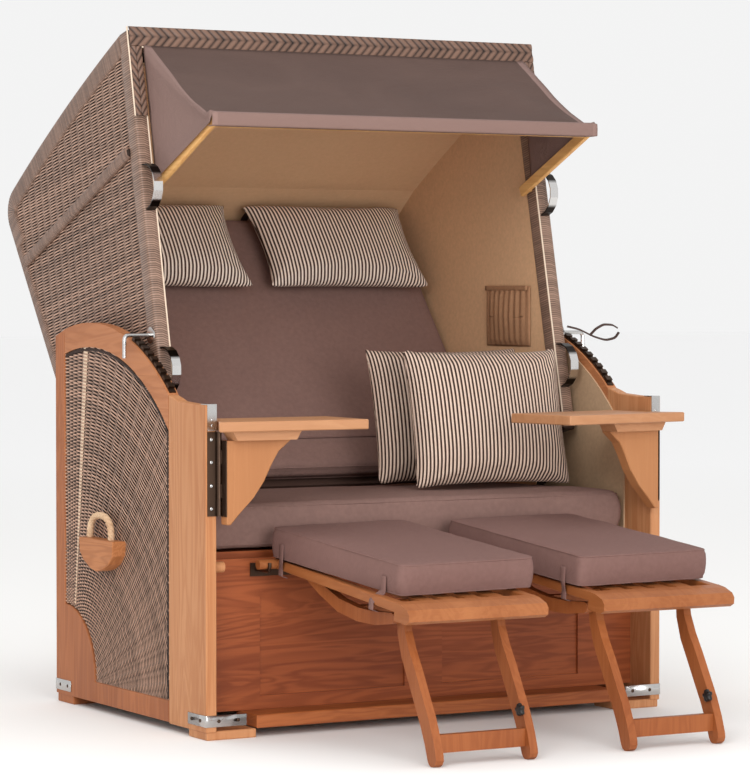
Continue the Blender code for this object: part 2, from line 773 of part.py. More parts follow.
# Hood: its outline in the side view
hood = joint("hood_pivot", (0, pivot_y, pivot_z), base)
lean = math.radians(hood_front_lean)
back_lean = math.radians(hood_back_lean)
front_out = Vector((math.cos(lean), -math.sin(lean)))           # square to the front, towards the back
top_corner = Vector((hood_top_y, hood_top_z))
knee = Vector((knee_y, knee_z))
back_dir = Vector((-math.sin(back_lean), -math.cos(back_lean)))  # down the back
top_dir = (knee - top_corner).normalized()
turn = top_dir.angle(back_dir)
knee_steps = 6


def front_at(depth):
    """A line parallel to the hood's front, that far behind it: gives y for a given z."""
    offset = depth / math.cos(lean)
    return lambda z: hood_top_y + offset - (hood_top_z - z) * math.tan(lean)


def outline_at(inset, depth, bottom):
    """The hood's top, knee and back, moved inwards, from that depth behind the front to the bottom."""
    normal_top = Vector((top_dir.y, -top_dir.x))
    normal_back = Vector((back_dir.y, -back_dir.x))
    corner = knee + (normal_top + normal_back).normalized() * (inset / math.cos(turn / 2))
    radius = max(knee_radius - inset, knee_radius / 4)
    tangent = radius * math.tan(turn / 2)
    start = corner - top_dir * tangent
    centre = start + normal_top * radius
    begin = top_corner + normal_top * inset
    begin = begin - top_dir * (((begin - top_corner).dot(front_out) - depth) / top_dir.dot(front_out))
    out = [begin.lerp(start, i / knee_steps) - normal_top * (hood_top_bulge * 4 * i / knee_steps * (1 - i / knee_steps))
           for i in range(knee_steps)]
    spoke = start - centre
    for i in range(knee_steps + 1):
        a = turn * i / knee_steps
        out.append(centre + Vector((spoke.x * math.cos(a) + spoke.y * math.sin(a),
                                    spoke.y * math.cos(a) - spoke.x * math.sin(a))))
    out.append(out[-1] + back_dir * ((out[-1].y - bottom) / math.cos(back_lean)))
    return [tuple(p) for p in out]


hood_front = leaning((0, hood_top_y, hood_top_z), hood_front_lean)
post_length = (hood_top_z - hood_front_bottom_z) / math.cos(lean)
opening_top = -braid_thickness - top_beam_height
front_u = [(-hood_half_width, -post_length), (-hood_inner_x, -post_length), (-hood_inner_x, opening_top),
           (hood_inner_x, opening_top), (hood_inner_x, -post_length), (hood_half_width, -post_length),
           (hood_half_width, -braid_thickness), (-hood_half_width, -braid_thickness)]
node("hood_front_frame", plate(front_u, -post_depth, 0, hood_front @ FRONT, round_by=board_round), hood, WEAVE, 0.7)

# the braid covers the front of the top beam and of the posts' upper ends, and caps the beam
braid_u = [(-hood_half_width, -braid_length), (-hood_inner_x, -braid_length), (-hood_inner_x, opening_top),
           (hood_inner_x, opening_top), (hood_inner_x, -braid_length), (hood_half_width, -braid_length),
           (hood_half_width, 0), (-hood_half_width, 0)]
braid_cap = box((-hood_half_width + joint_overlap, -fit_gap - joint_overlap, -braid_thickness + fit_gap),
                (hood_half_width - joint_overlap, post_depth, -joint_overlap), 0, hood_front)
node("hood_braid", fused(plate(braid_u, fit_gap, fit_gap + braid_thickness, hood_front @ FRONT), braid_cap),
     hood, BRAID, 0.7)

behind = post_depth + fit_gap
roof = outline_at(0, behind, hood_back_bottom_z) + outline_at(hood_shell_thickness, behind, hood_back_bottom_z)[::-1]
node("hood_roof", plate(roof, -hood_half_width, hood_half_width), hood, WEAVE, 0.75)

# side panels under the roof, with the ear that carries the pivot and a half-round rail across the weave
panel_front = front_at(behind)
panel_line = outline_at(hood_shell_thickness + fit_gap, behind, hood_back_bottom_z)
ear = [(pivot_y + ear_radius * math.cos(math.pi * i / ear_steps),
        pivot_z - ear_radius * math.sin(math.pi * i / ear_steps)) for i in range(ear_steps + 1)]
hole_radius = pivot_bolt_radius + bolt_clear
bolt_hole = [(pivot_y + hole_radius * math.cos(2 * math.pi * i / hole_steps),
              pivot_z + hole_radius * math.sin(2 * math.pi * i / hole_steps)) for i in range(hole_steps)]
side_x1 = hood_half_width - side_recess
side_panel = plate(panel_line + ear + [(panel_front(hood_front_bottom_z), hood_front_bottom_z)],
                   hood_inner_x, side_x1, holes=[bolt_hole])
depth_at = hood_half_width + diagonal_height - side_recess
d0 = Vector((panel_front(diagonal_front_z) + joint_overlap, diagonal_front_z))
d1 = Vector((diagonal_back_y, diagonal_back_z))
run = (d1 - d0).normalized()
across = Vector((run.y, -run.x)) * diagonal_width / 2
diagonal = plate([tuple(d0 - across), tuple(d1 - across), tuple(d1 + across), tuple(d0 + across)],
                 side_x1 - joint_overlap, side_x1 + diagonal_height, round_by=diagonal_height / 2)
both("hood_side", fused(side_panel, diagonal), hood, WEAVE, 0.75)

# pivot bolts: through the ears, from a head inside to the base's lining
head_x = hood_inner_x - fit_gap
spacer_x = side_x1 + bolt_clear
bolt_profile = [(0, lining_x0 - fit_gap), (2.5 * pivot_bolt_radius, lining_x0 - fit_gap),
                (2.5 * pivot_bolt_radius, spacer_x), (pivot_bolt_radius, spacer_x), (pivot_bolt_radius, head_x),
                (1.8 * pivot_bolt_radius, head_x), (1.8 * pivot_bolt_radius, head_x - pivot_bolt_radius / 2),
                (0, head_x - pivot_bolt_radius / 2)]
both("pivot_bolt", turned(bolt_profile, Matrix.Translation((0, pivot_y, pivot_z)) @ ALONG_X), base, STEEL, 0.35, 1.0)

# Hood: back cushion, lining, headrests
back_vec = Vector((back_high_y - back_low_y, back_high_z - back_low_z))
back_length = back_vec.length
back_angle = math.degrees(math.atan2(back_vec.x, back_vec.y))
back_frame = leaning((0, back_low_y, back_low_z), back_angle)     # Z up the cushion, Y into its depth
back_mid = back_frame @ Matrix.Translation((0, back_cushion_thickness / 2, back_length / 2))
node("back_cushion", cushion(back_half_width, back_length / 2, back_cushion_thickness, back_crown, 4, 4,
                             back_mid @ FRONT, cushion_edge), hood, CLOTH, 0.9, smooth=True)

# one bent lining board: under the roof, then down behind the back cushion
ceiling_x = hood_inner_x - fit_gap
seat_of_back = back_cushion_thickness + back_crown - back_sink
back_top = back_frame @ Vector((0, seat_of_back, back_length + ceiling_clear))
back_foot = back_frame @ Vector((0, seat_of_back, 0))
ceiling = [p for p in outline_at(ceiling_drop, behind, hood_back_bottom_z)[:knee_steps] if p[0] < back_top.y]
upper = [p for p in outline_at(ceiling_drop - board_thickness, behind, hood_back_bottom_z)[:knee_steps]
         if p[0] < back_top.y + board_thickness]
back_top_rear = back_frame @ Vector((0, seat_of_back + board_thickness, back_length + ceiling_clear))
back_foot_rear = back_frame @ Vector((0, seat_of_back + board_thickness, 0))
lining_line = upper + [(back_top_rear.y, back_top_rear.z + board_thickness), (back_foot_rear.y, back_foot_rear.z),
                       (back_foot.y, back_foot.z), (back_top.y, back_top.z)] + ceiling[::-1]
node("hood_lining", plate(lining_line, -ceiling_x, ceiling_x), hood, LINING, 0.85)

rest_y = headrest_sink - headrest_thickness / 2 - back_crown
for side, name in ((-1, "headrest_left"), (1, "headrest_right")):
    place = back_frame @ Matrix.Translation((side * headrest_offset_x, rest_y, headrest_centre))
    node(name, pillow(headrest_half_width, headrest_half_height, headrest_thickness, place @ FRONT), hood,
         STRIPED, 0.9, smooth=True)

# Hood: handles and levers
handle_x = hood_half_width - post_thickness / 2
handle_steps = 8


def bow(z):
    """A bent flat strip on the front of a post: half an oval, seen from the side."""
    centre = -(hood_top_z - z) / math.cos(lean)

    def oval(reach, height):
        return [(-fit_gap - reach * math.sin(math.pi * i / handle_steps),
                 centre + height / 2 * math.cos(math.pi * i / handle_steps)) for i in range(handle_steps + 1)]

    t = handle_thickness
    line = oval(handle_reach, handle_height) + oval(handle_reach - t, handle_height - 2 * t)[::-1]
    return plate(line, handle_x - handle_width / 2, handle_x + handle_width / 2, hood_front @ SIDE)


handle_high_z = hood_top_z - (braid_length + handle_drop) * math.cos(lean)
both("upper_handle", bow(handle_high_z), hood, STEEL, 0.25, 1.0)
both("lower_handle", bow(handle_low_z), hood, STEEL, 0.25, 1.0)

# the lever's height is where its rod clears the toothed rail on the circle about the pivot
lever_track = arch_radius + fit_gap + rack_base + rack_tooth + lever_clear + lever_radius
slant = math.tan(lean)
reach_y = front_at(post_depth / 2)(0) - pivot_y
quad_a, quad_b = 1 + slant * slant, slant * reach_y - pivot_z
quad_c = reach_y * reach_y + pivot_z * pivot_z - lever_track * lever_track
lever_z = (-quad_b + math.sqrt(quad_b * quad_b - quad_a * quad_c)) / quad_a
lever_y = front_at(post_depth / 2)(lever_z)
lever_place = Matrix.Translation((0, lever_y, lever_z)) @ ALONG_X
lever_x0 = hood_half_width + fit_gap
lever_bend = 2 * lever_radius
lever_x1 = lever_x0 + lever_reach
bend_steps = 4
lever_route = [(lever_x0 + rosette_thickness / 2, lever_y, lever_z)]
lever_route += [(lever_x1 - lever_bend + lever_bend * math.sin(math.pi / 2 * i / bend_steps), lever_y,
                 lever_z - lever_bend * (1 - math.cos(math.pi / 2 * i / bend_steps))) for i in range(bend_steps + 1)]
lever_route += [(lever_x1, lever_y, lever_z - lever_drop)]
right_lever = fused(drum(rosette_radius, lever_x0, lever_x0 + rosette_thickness, lever_place, 20),
                    tube(lever_route, lever_radius, fine=2))
for side, name in ((-1, "lever_left"), (1, "lever_right")):
    axis = joint(name + "_axis", (side * lever_x0, lever_y, lever_z), hood)
    node(name, right_lever if side > 0 else mirrored(right_lever), axis, STEEL, 0.2, 1.0, smooth=True)

# Awning
awning_pivot = hood_front @ Vector((0, awning_pivot_depth, -(hood_top_z - awning_pivot_z) / math.cos(lean)))
awning = joint("awning_axis", (0, awning_pivot.y, awning_pivot.z), hood)
arm_frame = Matrix.Translation(awning_pivot) @ Matrix.Rotation(-math.radians(awning_arm_angle), 4, "X")
arm_x0 = awning_half_width - awning_arm_thickness
arm = box((arm_x0, -awning_arm_length - awning_arm_width / 2, -awning_arm_width / 2),
          (awning_half_width, awning_arm_width / 2, awning_arm_width / 2), board_round, arm_frame)
bar = box((-arm_x0 - joint_overlap, -awning_arm_length - awning_bar / 2, -awning_bar / 2),
          (arm_x0 + joint_overlap, -awning_arm_length + awning_bar / 2, awning_bar / 2), 0, arm_frame)
pin = drum(awning_pin_radius, awning_half_width - joint_overlap, hood_inner_x - fit_gap,
           Matrix.Translation(awning_pivot) @ ALONG_X, 10)
node("awning_frame", fused(bar, *pair(arm), *pair(pin)), awning, (205, 160, 110), 0.55)

# the cloth: from the top beam over the bar, a short valance, and a gusset at each side
bar_centre = arm_frame @ Vector((0, -awning_arm_length, 0))
bar_half = awning_bar / 2
cloth_x = awning_half_width + cloth_clear
start = hood_front @ Vector((0, -braid_thickness - cloth_meet, opening_top))
over = arm_frame @ Vector((0, -awning_arm_length + bar_half, awning_arm_width / 2 + cloth_clear))
crest = arm_frame @ Vector((0, -awning_arm_length - awning_arm_width / 2, awning_arm_width / 2 + cloth_clear))
arm_tip = -awning_arm_length - awning_arm_width / 2
high_corner = arm_frame @ Vector((0, arm_tip, awning_arm_width / 2))
low_corner = arm_frame @ Vector((0, arm_tip, -awning_arm_width / 2))
nose = Vector((0, low_corner.y - cloth_clear, high_corner.z))
hem = nose - Vector((0, 0, cloth_valance))
low_end = arm_frame @ Vector((0, -awning_arm_width * gusset_gap_share, 0))
columns = 10
rows = 4
sheet = bmesh.new()
grid = []
for j in range(rows + 1):
    s = j / rows
    row = []
    for i in range(columns + 1):
        u = 2 * i / columns - 1
        fold = cloth_fold * math.cos(3 * math.pi * u) * s * (1 - s)
        dip = (cloth_sag * (1 - u * u / 2) + fold) * 4 * s * (1 - s)
        p = start.lerp(over, s) - Vector((0, 0, dip))
        row.append(sheet.verts.new((cloth_x * u, p.y, p.z)))
    grid.append(row)
for p in (crest, nose, hem):
    grid.append([sheet.verts.new((cloth_x * (2 * i / columns - 1), p.y, p.z)) for i in range(columns + 1)])
for a, b in zip(grid, grid[1:]):
    for i in range(columns):
        sheet.faces.new((a[i], a[i + 1], b[i + 1], b[i]))
for side, i in ((-1, 0), (1, columns)):
    edge_line = [row[i] for row in grid[:rows + 2]]
    low = sheet.verts.new((side * cloth_x, low_end.y, low_end.z))
    for a, b in zip(edge_line, edge_line[1:]):
        sheet.faces.new((a, b, low) if side < 0 else (b, a, low))
bmesh.ops.recalc_face_normals(sheet, faces=sheet.faces)
cloth_mesh = bpy.data.meshes.new("cloth")
sheet.to_mesh(cloth_mesh)
sheet.free()
cloth_obj = link(cloth_mesh)
solid = cloth_obj.modifiers.new("thickness", "SOLIDIFY")
solid.thickness = cloth_thickness
solid.offset = 0
bpy.context.view_layer.update()
node("awning_cloth", evaluated(cloth_obj), awning, (123, 101, 93), 0.9)

# Trays
tray_z0 = tray_top - tray_thickness
tray_plan = [(tray_inner_x, tray_front_y), (tray_nose_x, tray_front_y), (tray_neck_x, tray_neck_y),
             (tray_outer_x, 0), (tray_outer_x, tray_back_y), (tray_inner_x, tray_back_y)]
tray_board = plate(tray_plan, tray_z0, tray_top, FLAT, round_by=board_round)
leaf_x1 = hinge_x - hinge_knuckle_radius + hinge_leaf
leaf_x0 = leaf_x1 - hinge_leaf
bracket_end = leaf_x0 - fit_gap
cleat_z0 = tray_z0 - cleat_height
cleat_back = -hinge_y + cleat_back_gap
cleat = plate([(bracket_end - bracket_reach - cleat_slant, tray_z0 + joint_overlap),
               (bracket_end - bracket_reach, cleat_z0), (bracket_end - cleat_slant, cleat_z0),
               (bracket_end, tray_z0 + joint_overlap)], cleat_back, cleat_back + cleat_depth, FRONT)
bracket_top = cleat_z0 - fit_gap
bracket_shares = [(0.06, 0.0), (0.21, 0.14), (0.40, 0.30), (0.57, 0.50), (0.70, 0.72), (0.80, 0.86), (1.0, 1.0)]
bracket_line = [(bracket_end, bracket_top)]
bracket_line += [(bracket_end - a * bracket_reach, bracket_bottom + b * (bracket_top - bracket_bottom))
                 for a, b in bracket_shares[::-1]]
bracket_line += [(bracket_end, bracket_bottom)]
bracket_back = -hinge_y - hinge_knuckle_radius / 2
bracket = plate(bracket_line, bracket_back, bracket_back + bracket_thickness, FRONT, round_by=board_round)
leaf_back = hinge_y - hinge_knuckle_radius
tray_leaf = box((leaf_x0, -bracket_back - bracket_thickness, hinge_bottom), (leaf_x1, leaf_back, bracket_top))
tray_tongue = ((leaf_x0 + hinge_leaf / 4, leaf_back - joint_overlap), (hinge_x, hinge_y))
tray_hinge = fused(tray_leaf, *knuckles(1, tray_tongue))
for side, name, angle in ((1, "right", tray_right_turn), (-1, "left", 0.0)):
    where = Matrix.Translation((side * hinge_x, hinge_y, 0))
    turned_by = where @ Matrix.Rotation(side * math.radians(angle), 4, "Z") @ where.inverted()
    swing = joint("tray_" + name + "_axis", (side * hinge_x, hinge_y, tray_z0), base)

    def placed(mesh):
        out = mesh.copy() if side > 0 else mirrored(mesh)
        out.transform(turned_by)
        return out

    node("tray_" + name, placed(fused(tray_board, cleat)), swing, TRAY_WOOD, 0.5)
    node("tray_bracket_" + name, placed(bracket), swing, BRACKET_WOOD, 0.5)
    node("tray_hinge_" + name, placed(tray_hinge), swing, BLACK, *DARK_METAL)

# Footrests
# a frame on the dowel's axis: -Y runs down along the footrest, Z square to it
rest_frame = (Matrix.Translation((0, footrest_axis_y, footrest_axis_z))
              @ Matrix.Rotation(math.radians(footrest_slope), 4, "X"))
hw = footrest_half_width
rail_in = hw - rail_size
rail_half = rail_size / 2
rail_end = -footrest_length + front_bar_depth
side_rail = box((rail_in, rail_end - joint_overlap, -rail_half), (hw, rail_tail, rail_half), board_round, rest_frame)
bar_profile_shares = [(0.0, 0.0), (0.0, -1.0), (0.80, -1.0), (1.0, -0.80), (1.0, -0.45), (0.85, -0.22), (0.40, -0.04)]
bar_profile = [(rail_end - a * front_bar_depth, rail_half + b * front_bar_height) for a, b in bar_profile_shares]
front_bar = plate(bar_profile, -hw, hw, rest_frame @ SIDE)
rear_bar = box((-rail_in - joint_overlap, rear_bar_y - rail_size, -rail_half + joint_overlap),
               (rail_in + joint_overlap, rear_bar_y, rail_half - joint_overlap), 0, rest_frame)
dowel = drum(dowel_radius, -hw - dowel_overhang, hw + dowel_overhang,
             Matrix.Translation((0, footrest_axis_y, footrest_axis_z)) @ ALONG_X, 24)
slat_field = leg_outer_offset - leg_thickness - slat_side_gap
slat_space = (2 * slat_field - slat_count * slat_width) / (slat_count - 1)
slat_z1 = rail_half - slat_drop
slats = [box((-slat_field + i * (slat_width + slat_space), rail_end - joint_overlap, slat_z1 - slat_thickness),
             (-slat_field + i * (slat_width + slat_space) + slat_width, rear_bar_y - rail_size + joint_overlap,
              slat_z1), 0, rest_frame) for i in range(slat_count)]
frame_solid = fused(front_bar, *pair(side_rail), rear_bar, dowel, *slats)


def bowed(centre, widths, end_steps=4):
    """A curved leg: its centre line and width at each point, with round ends."""
    outer, inner = [], []
    last = len(centre) - 1
    for i, p in enumerate(centre):
        d = (centre[min(i + 1, last)] - centre[max(i - 1, 0)]).normalized()
        n = Vector((d.y, -d.x))
        outer.append(p + n * widths[i] / 2)
        inner.append(p - n * widths[i] / 2)

    def cap_at(p, along, width):
        n = Vector((along.y, -along.x))
        return [p + (along * math.sin(math.pi * k / end_steps) + n * math.cos(math.pi * k / end_steps)) * width / 2
                for k in range(1, end_steps)]

    far = cap_at(centre[-1], (centre[-1] - centre[-2]).normalized(), widths[-1])
    near = cap_at(centre[0], (centre[0] - centre[1]).normalized(), widths[0])
    return [tuple(p) for p in outer + far + inner[::-1] + near]


# front legs: shares of the way forward and of the way down from the bolt to the foot
bolt_at = rest_frame @ Vector((0, -leg_bolt_distance, -leg_bolt_drop))
leg_shares = [(0.0, 0.0, 0.58), (0.05, 0.19, 0.80), (0.18, 0.33, 0.95), (0.38, 0.47, 1.0), (0.58, 0.62, 1.0),
              (0.77, 0.76, 1.0), (0.91, 0.89, 0.98), (1.0, 1.0, 0.95)]
foot_radius = leg_width * leg_shares[-1][2] / 2
leg_drop = bolt_at.z - foot_radius
leg_centre = [Vector((bolt_at.y - a * leg_forward, bolt_at.z - b * leg_drop)) for a, b, _ in leg_shares]
leg_side = plate(bowed(leg_centre, [leg_width * w for _, _, w in leg_shares], 6), leg_outer_offset - leg_thickness,
                 leg_outer_offset)
cross_at = leg_centre[-1].lerp(leg_centre[-2], cross_share)
leg_cross = box((-leg_outer_offset + leg_thickness - joint_overlap, cross_at.x - leg_cross_thickness / 2,
                 cross_at.y - leg_cross_height / 2),
                (leg_outer_offset - leg_thickness + joint_overlap, cross_at.x + leg_cross_thickness / 2,
                 cross_at.y + leg_cross_height / 2))
leg_rod = drum(bolt_radius, -rail_in + fit_gap, rail_in - fit_gap, Matrix.Translation(bolt_at) @ ALONG_X, 10)
front_legs = fused(leg_cross, *pair(leg_side), leg_rod)

# rear legs: folded flat under the frame, in the lanes outside the front legs
rear_bolt = rest_frame @ Vector((0, -rear_leg_bolt_distance, -rear_leg_bolt_drop))
rear_dir = (rest_frame.to_3x3() @ Vector((0, -1, 0)))
rear_down = (rest_frame.to_3x3() @ Vector((0, 0, -1)))
rear_leg_shares = [(0.0, 0.0, 0.60), (0.18, 0.45, 0.85), (0.40, 0.90, 1.0), (0.62, 1.0, 1.0), (0.82, 0.88, 0.95),
                   (1.0, 0.60, 0.80)]
rear_centre = []
for a, b, _ in rear_leg_shares:
    p = rear_bolt + rear_dir * (a * rear_leg_length) + rear_down * (b * rear_leg_belly)
    rear_centre.append(Vector((p.y, p.z)))
rear_side = plate(bowed(rear_centre, [rear_leg_width * w for _, _, w in rear_leg_shares]),
                  rear_leg_outer_offset - leg_thickness, rear_leg_outer_offset)
rear_cross_at = rear_centre[2].lerp(rear_centre[3], 0.5)
rear_cross = box((-rear_leg_outer_offset + leg_thickness - joint_overlap, rear_cross_at.x - leg_cross_thickness,
                  rear_cross_at.y - leg_cross_thickness / 2),
                 (rear_leg_outer_offset - leg_thickness + joint_overlap, rear_cross_at.x + leg_cross_thickness,
                  rear_cross_at.y + leg_cross_thickness / 2))
rear_rod = drum(bolt_radius, -rail_in + fit_gap, rail_in - fit_gap, Matrix.Translation(rear_bolt) @ ALONG_X, 10)
rear_legs = fused(rear_cross, *pair(rear_side), rear_rod)

pad_half_length = pad_length / 2
pad_place = (rest_frame @ Matrix.Translation((0, pad_tail - pad_half_length,
                                              rail_half + pad_crown - pad_sink + pad_thickness / 2)))
pad = cushion(pad_half_width, pad_half_length, pad_thickness, pad_crown, 3, 4, pad_place, cushion_edge)

for side, name in ((-1, "left"), (1, "right")):
    def shifted(mesh, x):
        out = mesh.copy()
        out.transform(Matrix.Translation((side * x, 0, 0)))
        return out

    x = footrest_centre_x
    rest = joint("footrest_" + name + "_axis", (side * x, footrest_axis_y, footrest_axis_z), base)
    front_axis = joint("front_legs_" + name + "_axis", (side * x, bolt_at.y, bolt_at.z), rest)
    rear_axis = joint("rear_legs_" + name + "_axis", (side * x, rear_bolt.y, rear_bolt.z), rest)
    node("footrest_frame_" + name, shifted(frame_solid, x), rest, LEG_WOOD, 0.5)
    node("foot_pad_" + name, shifted(pad, pad_centre_x), rest, PAD_CLOTH, 0.9, smooth=True)
    node("front_legs_" + name, shifted(front_legs, x), front_axis, LEG_WOOD, 0.5)
    node("rear_legs_" + name, shifted(rear_legs, x), rear_axis, LEG_WOOD, 0.5)

# The origin under the chair's middle
bpy.context.view_layer.update()
pieces = [o for o in chair.objects if o.type == "MESH"]
corners = [o.matrix_world @ Vector(c) for o in pieces for c in o.bound_box]
base.location.y = -(min(c.y for c in corners) + max(c.y for c in corners)) / 2
bpy.context.view_layer.update()
print("nodes", len(pieces), "moved by", round(base.location.y, 5))
for o in chair.objects:
    if o.type == "EMPTY":
        print(o.name, [round(c, 5) for c in o.matrix_world.translation])
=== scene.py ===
# A hooded beach chair: its looks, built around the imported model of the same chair.
import math

import bmesh
import bpy
import numpy as np
from mathutils import Matrix, Vector


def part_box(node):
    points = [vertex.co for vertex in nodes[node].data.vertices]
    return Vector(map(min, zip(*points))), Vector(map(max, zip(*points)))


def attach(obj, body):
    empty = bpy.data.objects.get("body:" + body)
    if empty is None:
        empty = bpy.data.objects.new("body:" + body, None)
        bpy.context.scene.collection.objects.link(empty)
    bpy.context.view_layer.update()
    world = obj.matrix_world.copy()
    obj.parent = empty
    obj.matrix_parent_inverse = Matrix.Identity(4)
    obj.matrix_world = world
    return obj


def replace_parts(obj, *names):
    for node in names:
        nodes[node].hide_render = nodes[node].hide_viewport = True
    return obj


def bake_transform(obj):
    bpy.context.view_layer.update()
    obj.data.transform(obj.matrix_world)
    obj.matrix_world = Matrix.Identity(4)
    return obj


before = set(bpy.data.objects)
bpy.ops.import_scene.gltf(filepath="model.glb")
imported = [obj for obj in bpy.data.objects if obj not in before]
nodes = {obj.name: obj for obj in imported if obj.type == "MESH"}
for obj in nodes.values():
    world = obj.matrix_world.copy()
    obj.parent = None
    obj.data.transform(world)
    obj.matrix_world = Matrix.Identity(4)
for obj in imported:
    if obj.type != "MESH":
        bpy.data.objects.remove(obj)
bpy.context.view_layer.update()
scene = bpy.context.scene
both_sides = ((-1, "left"), (1, "right"))

# The camera stands left of the chair's front, at the height of its backrest, with a long lens.
# The chair is set on a pale floor that turns whiter far off, under a broad soft light from the front left.
azimuth, elevation, distance, lens = math.radians(-29.4321), math.radians(1.7269), 7.5316, 147.56
aim = Vector((-0.0066, -0.00876, 0.7533))
back = Vector((math.sin(azimuth) * math.cos(elevation), -math.cos(azimuth) * math.cos(elevation),
               math.sin(elevation)))
sensor_width = 36
camera_data = bpy.data.cameras.new("camera")
camera_data.lens, camera_data.sensor_width = lens, sensor_width
camera = bpy.data.objects.new("camera", camera_data)
camera.location = aim + back * distance
camera.rotation_euler = back.to_track_quat("Z", "Y").to_euler()
scene.collection.objects.link(camera)
scene.camera = camera
scene.view_settings.view_transform = "Standard"


def light(name, spot, size, power, target=(0, 0, 0.8)):
    """A round soft light of some size in metres and power in watts, turned to its target."""
    data = bpy.data.lights.new(name, "AREA")
    data.shape = "DISK"
    data.size, data.energy = size, power
    obj = bpy.data.objects.new(name, data)
    obj.location = spot
    obj.rotation_euler = (Vector(spot) - Vector(target)).to_track_quat("Z", "Y").to_euler()
    scene.collection.objects.link(obj)


light("key", (-3.6, -4.0, 3.4), 2.8, 110)
light("front", (-0.9, -6.2, 1.5), 3.0, 165, (0, 0.3, 1.15))
light("top", (0.0, 0.5, 5.0), 3.5, 40)
world = bpy.data.worlds.new("studio")
world.use_nodes = True
sky = world.node_tree.nodes["Background"].inputs
sky["Color"].default_value, sky["Strength"].default_value = (1.0, 1.0, 1.0, 1), 0.9
scene.world = world


class Socket:
    """A shader value that can be used in sums, products and differences."""

    def __init__(self, finish, socket):
        self.finish, self.socket = finish, socket

    def maths(self, operation, first, second):
        return self.finish.node("Math", {"operation": operation}, first, second)

    def __add__(self, other):
        return self.maths("ADD", self, other)

    def __sub__(self, other):
        return self.maths("SUBTRACT", self, other)

    def __rsub__(self, other):
        return self.maths("SUBTRACT", other, self)

    def __mul__(self, other):
        return self.maths("MULTIPLY", self, other)

    def __truediv__(self, other):
        return self.maths("DIVIDE", self, other)

    __radd__ = __add__
    __rmul__ = __mul__

    def absolute(self):
        return self.maths("ABSOLUTE", self, 0.0)

    def floor(self):
        return self.maths("FLOOR", self, 0.0)

    def fract(self):
        return self.maths("FRACT", self, 0.0)

    def sine(self):
        return self.maths("SINE", self, 0.0)

    def cosine(self):
        return self.maths("COSINE", self, 0.0)

    def part(self, axis):
        """One coordinate of a vector, by its number from 0 to 2."""
        return self.finish.node("SeparateXYZ", None, self, out=axis)


def colour(rgb, strength=1.0):
    """A colour read from 0 to 255, as the shader's linear values."""
    return tuple((c / 255) ** 2.2 * strength for c in rgb) + (1.0,)


class Finish:
    """A surface finish: a Principled shader whose inputs are given as values or sums."""

    def __init__(self, name, roughness=0.6, metallic=0.0):
        self.material = bpy.data.materials.new(name)
        self.material.use_nodes = True
        self.tree = self.material.node_tree
        self.shader = self.tree.nodes["Principled BSDF"]
        self.shader.inputs["Roughness"].default_value = roughness
        self.shader.inputs["Metallic"].default_value = metallic
        self.shader.inputs["Specular IOR Level"].default_value = 0.5 if metallic else 0.3

    def node(self, kind, settings=None, *values, out=0, **named):
        made = self.tree.nodes.new("ShaderNode" + kind)
        for key, value in (settings or {}).items():
            setattr(made, key, value)
        inputs = [s for s in made.inputs if s.enabled]
        for socket, value in list(zip(inputs, values)) + [(made.inputs[k], v) for k, v in named.items()]:
            self.feed(socket, value)
        return Socket(self, made.outputs[out])

    def feed(self, socket, value):
        """Gives an input a value or links it to one; None leaves it as it is."""
        if isinstance(value, Socket):
            self.tree.links.new(value.socket, socket)
        elif value is not None:
            socket.default_value = value

    def mix(self, share, first, second):
        """A colour between two, by a share from 0 to 1."""
        made = self.tree.nodes.new("ShaderNodeMix")
        made.data_type = "RGBA"
        for index, value in ((0, share), (6, first), (7, second)):
            self.feed(made.inputs[index], value)
        return Socket(self, made.outputs[2])

    def mapped(self, at, scale=(1, 1, 1), shift=(0, 0, 0), turn=(0, 0, 0)):
        return self.node("Mapping", None, at, shift, turn, scale)

    def place(self, scale=(1, 1, 1), shift=(0, 0, 0)):
        """The point on the chair, in metres, stretched and shifted."""
        return self.mapped(self.node("TexCoord", None, out=3), scale, shift)

    def noise(self, at, scale, detail=3.0, rough=0.5, distortion=0.0):
        return self.node("TexNoise", None, Vector=at, Scale=scale, Detail=detail, Roughness=rough,
                         Distortion=distortion)

    def uv(self):
        return self.node("UVMap", {"uv_map": "UVMap"})

    def wave(self, direction, at, scale, distortion=0.0):
        return self.node("TexWave", {"bands_direction": direction}, Vector=at, Scale=scale,
                         Distortion=distortion)

    def chance(self, number):
        """A random tone for each whole number."""
        return self.node("TexWhiteNoise", {"noise_dimensions": "1D"}, W=number)

    def ramp(self, value, low, high):
        """0 below low, 1 above high."""
        return self.node("MapRange", {"clamp": True}, value, low, high, 0.0, 1.0)

    def done(self, base, roughness=None, bump=None, depth=0.001, strength=1.0):
        """Feeds the shader its colour, roughness and bump, and gives the material."""
        self.feed(self.shader.inputs["Base Color"], base)
        self.feed(self.shader.inputs["Roughness"], roughness)
        if bump is not None:
            self.feed(self.shader.inputs["Normal"], self.node("Bump", None, strength, depth, Height=bump))
        return self.material


def add_mesh(name, points, faces, uv=None):
    """A new piece from its points and faces, in the chair's own place."""
    mesh = bpy.data.meshes.new(name)
    mesh.from_pydata([tuple(p) for p in points], [], faces)
    if uv is not None:
        layer = mesh.uv_layers.new(name="UVMap")
        loops = np.zeros(len(mesh.loops), np.int64)
        mesh.loops.foreach_get("vertex_index", loops)
        layer.data.foreach_set("uv", np.asarray(uv, np.float32)[loops].ravel())
    mesh.update()
    mesh.shade_smooth()
    obj = bpy.data.objects.new(name, mesh)
    scene.collection.objects.link(obj)
    return obj


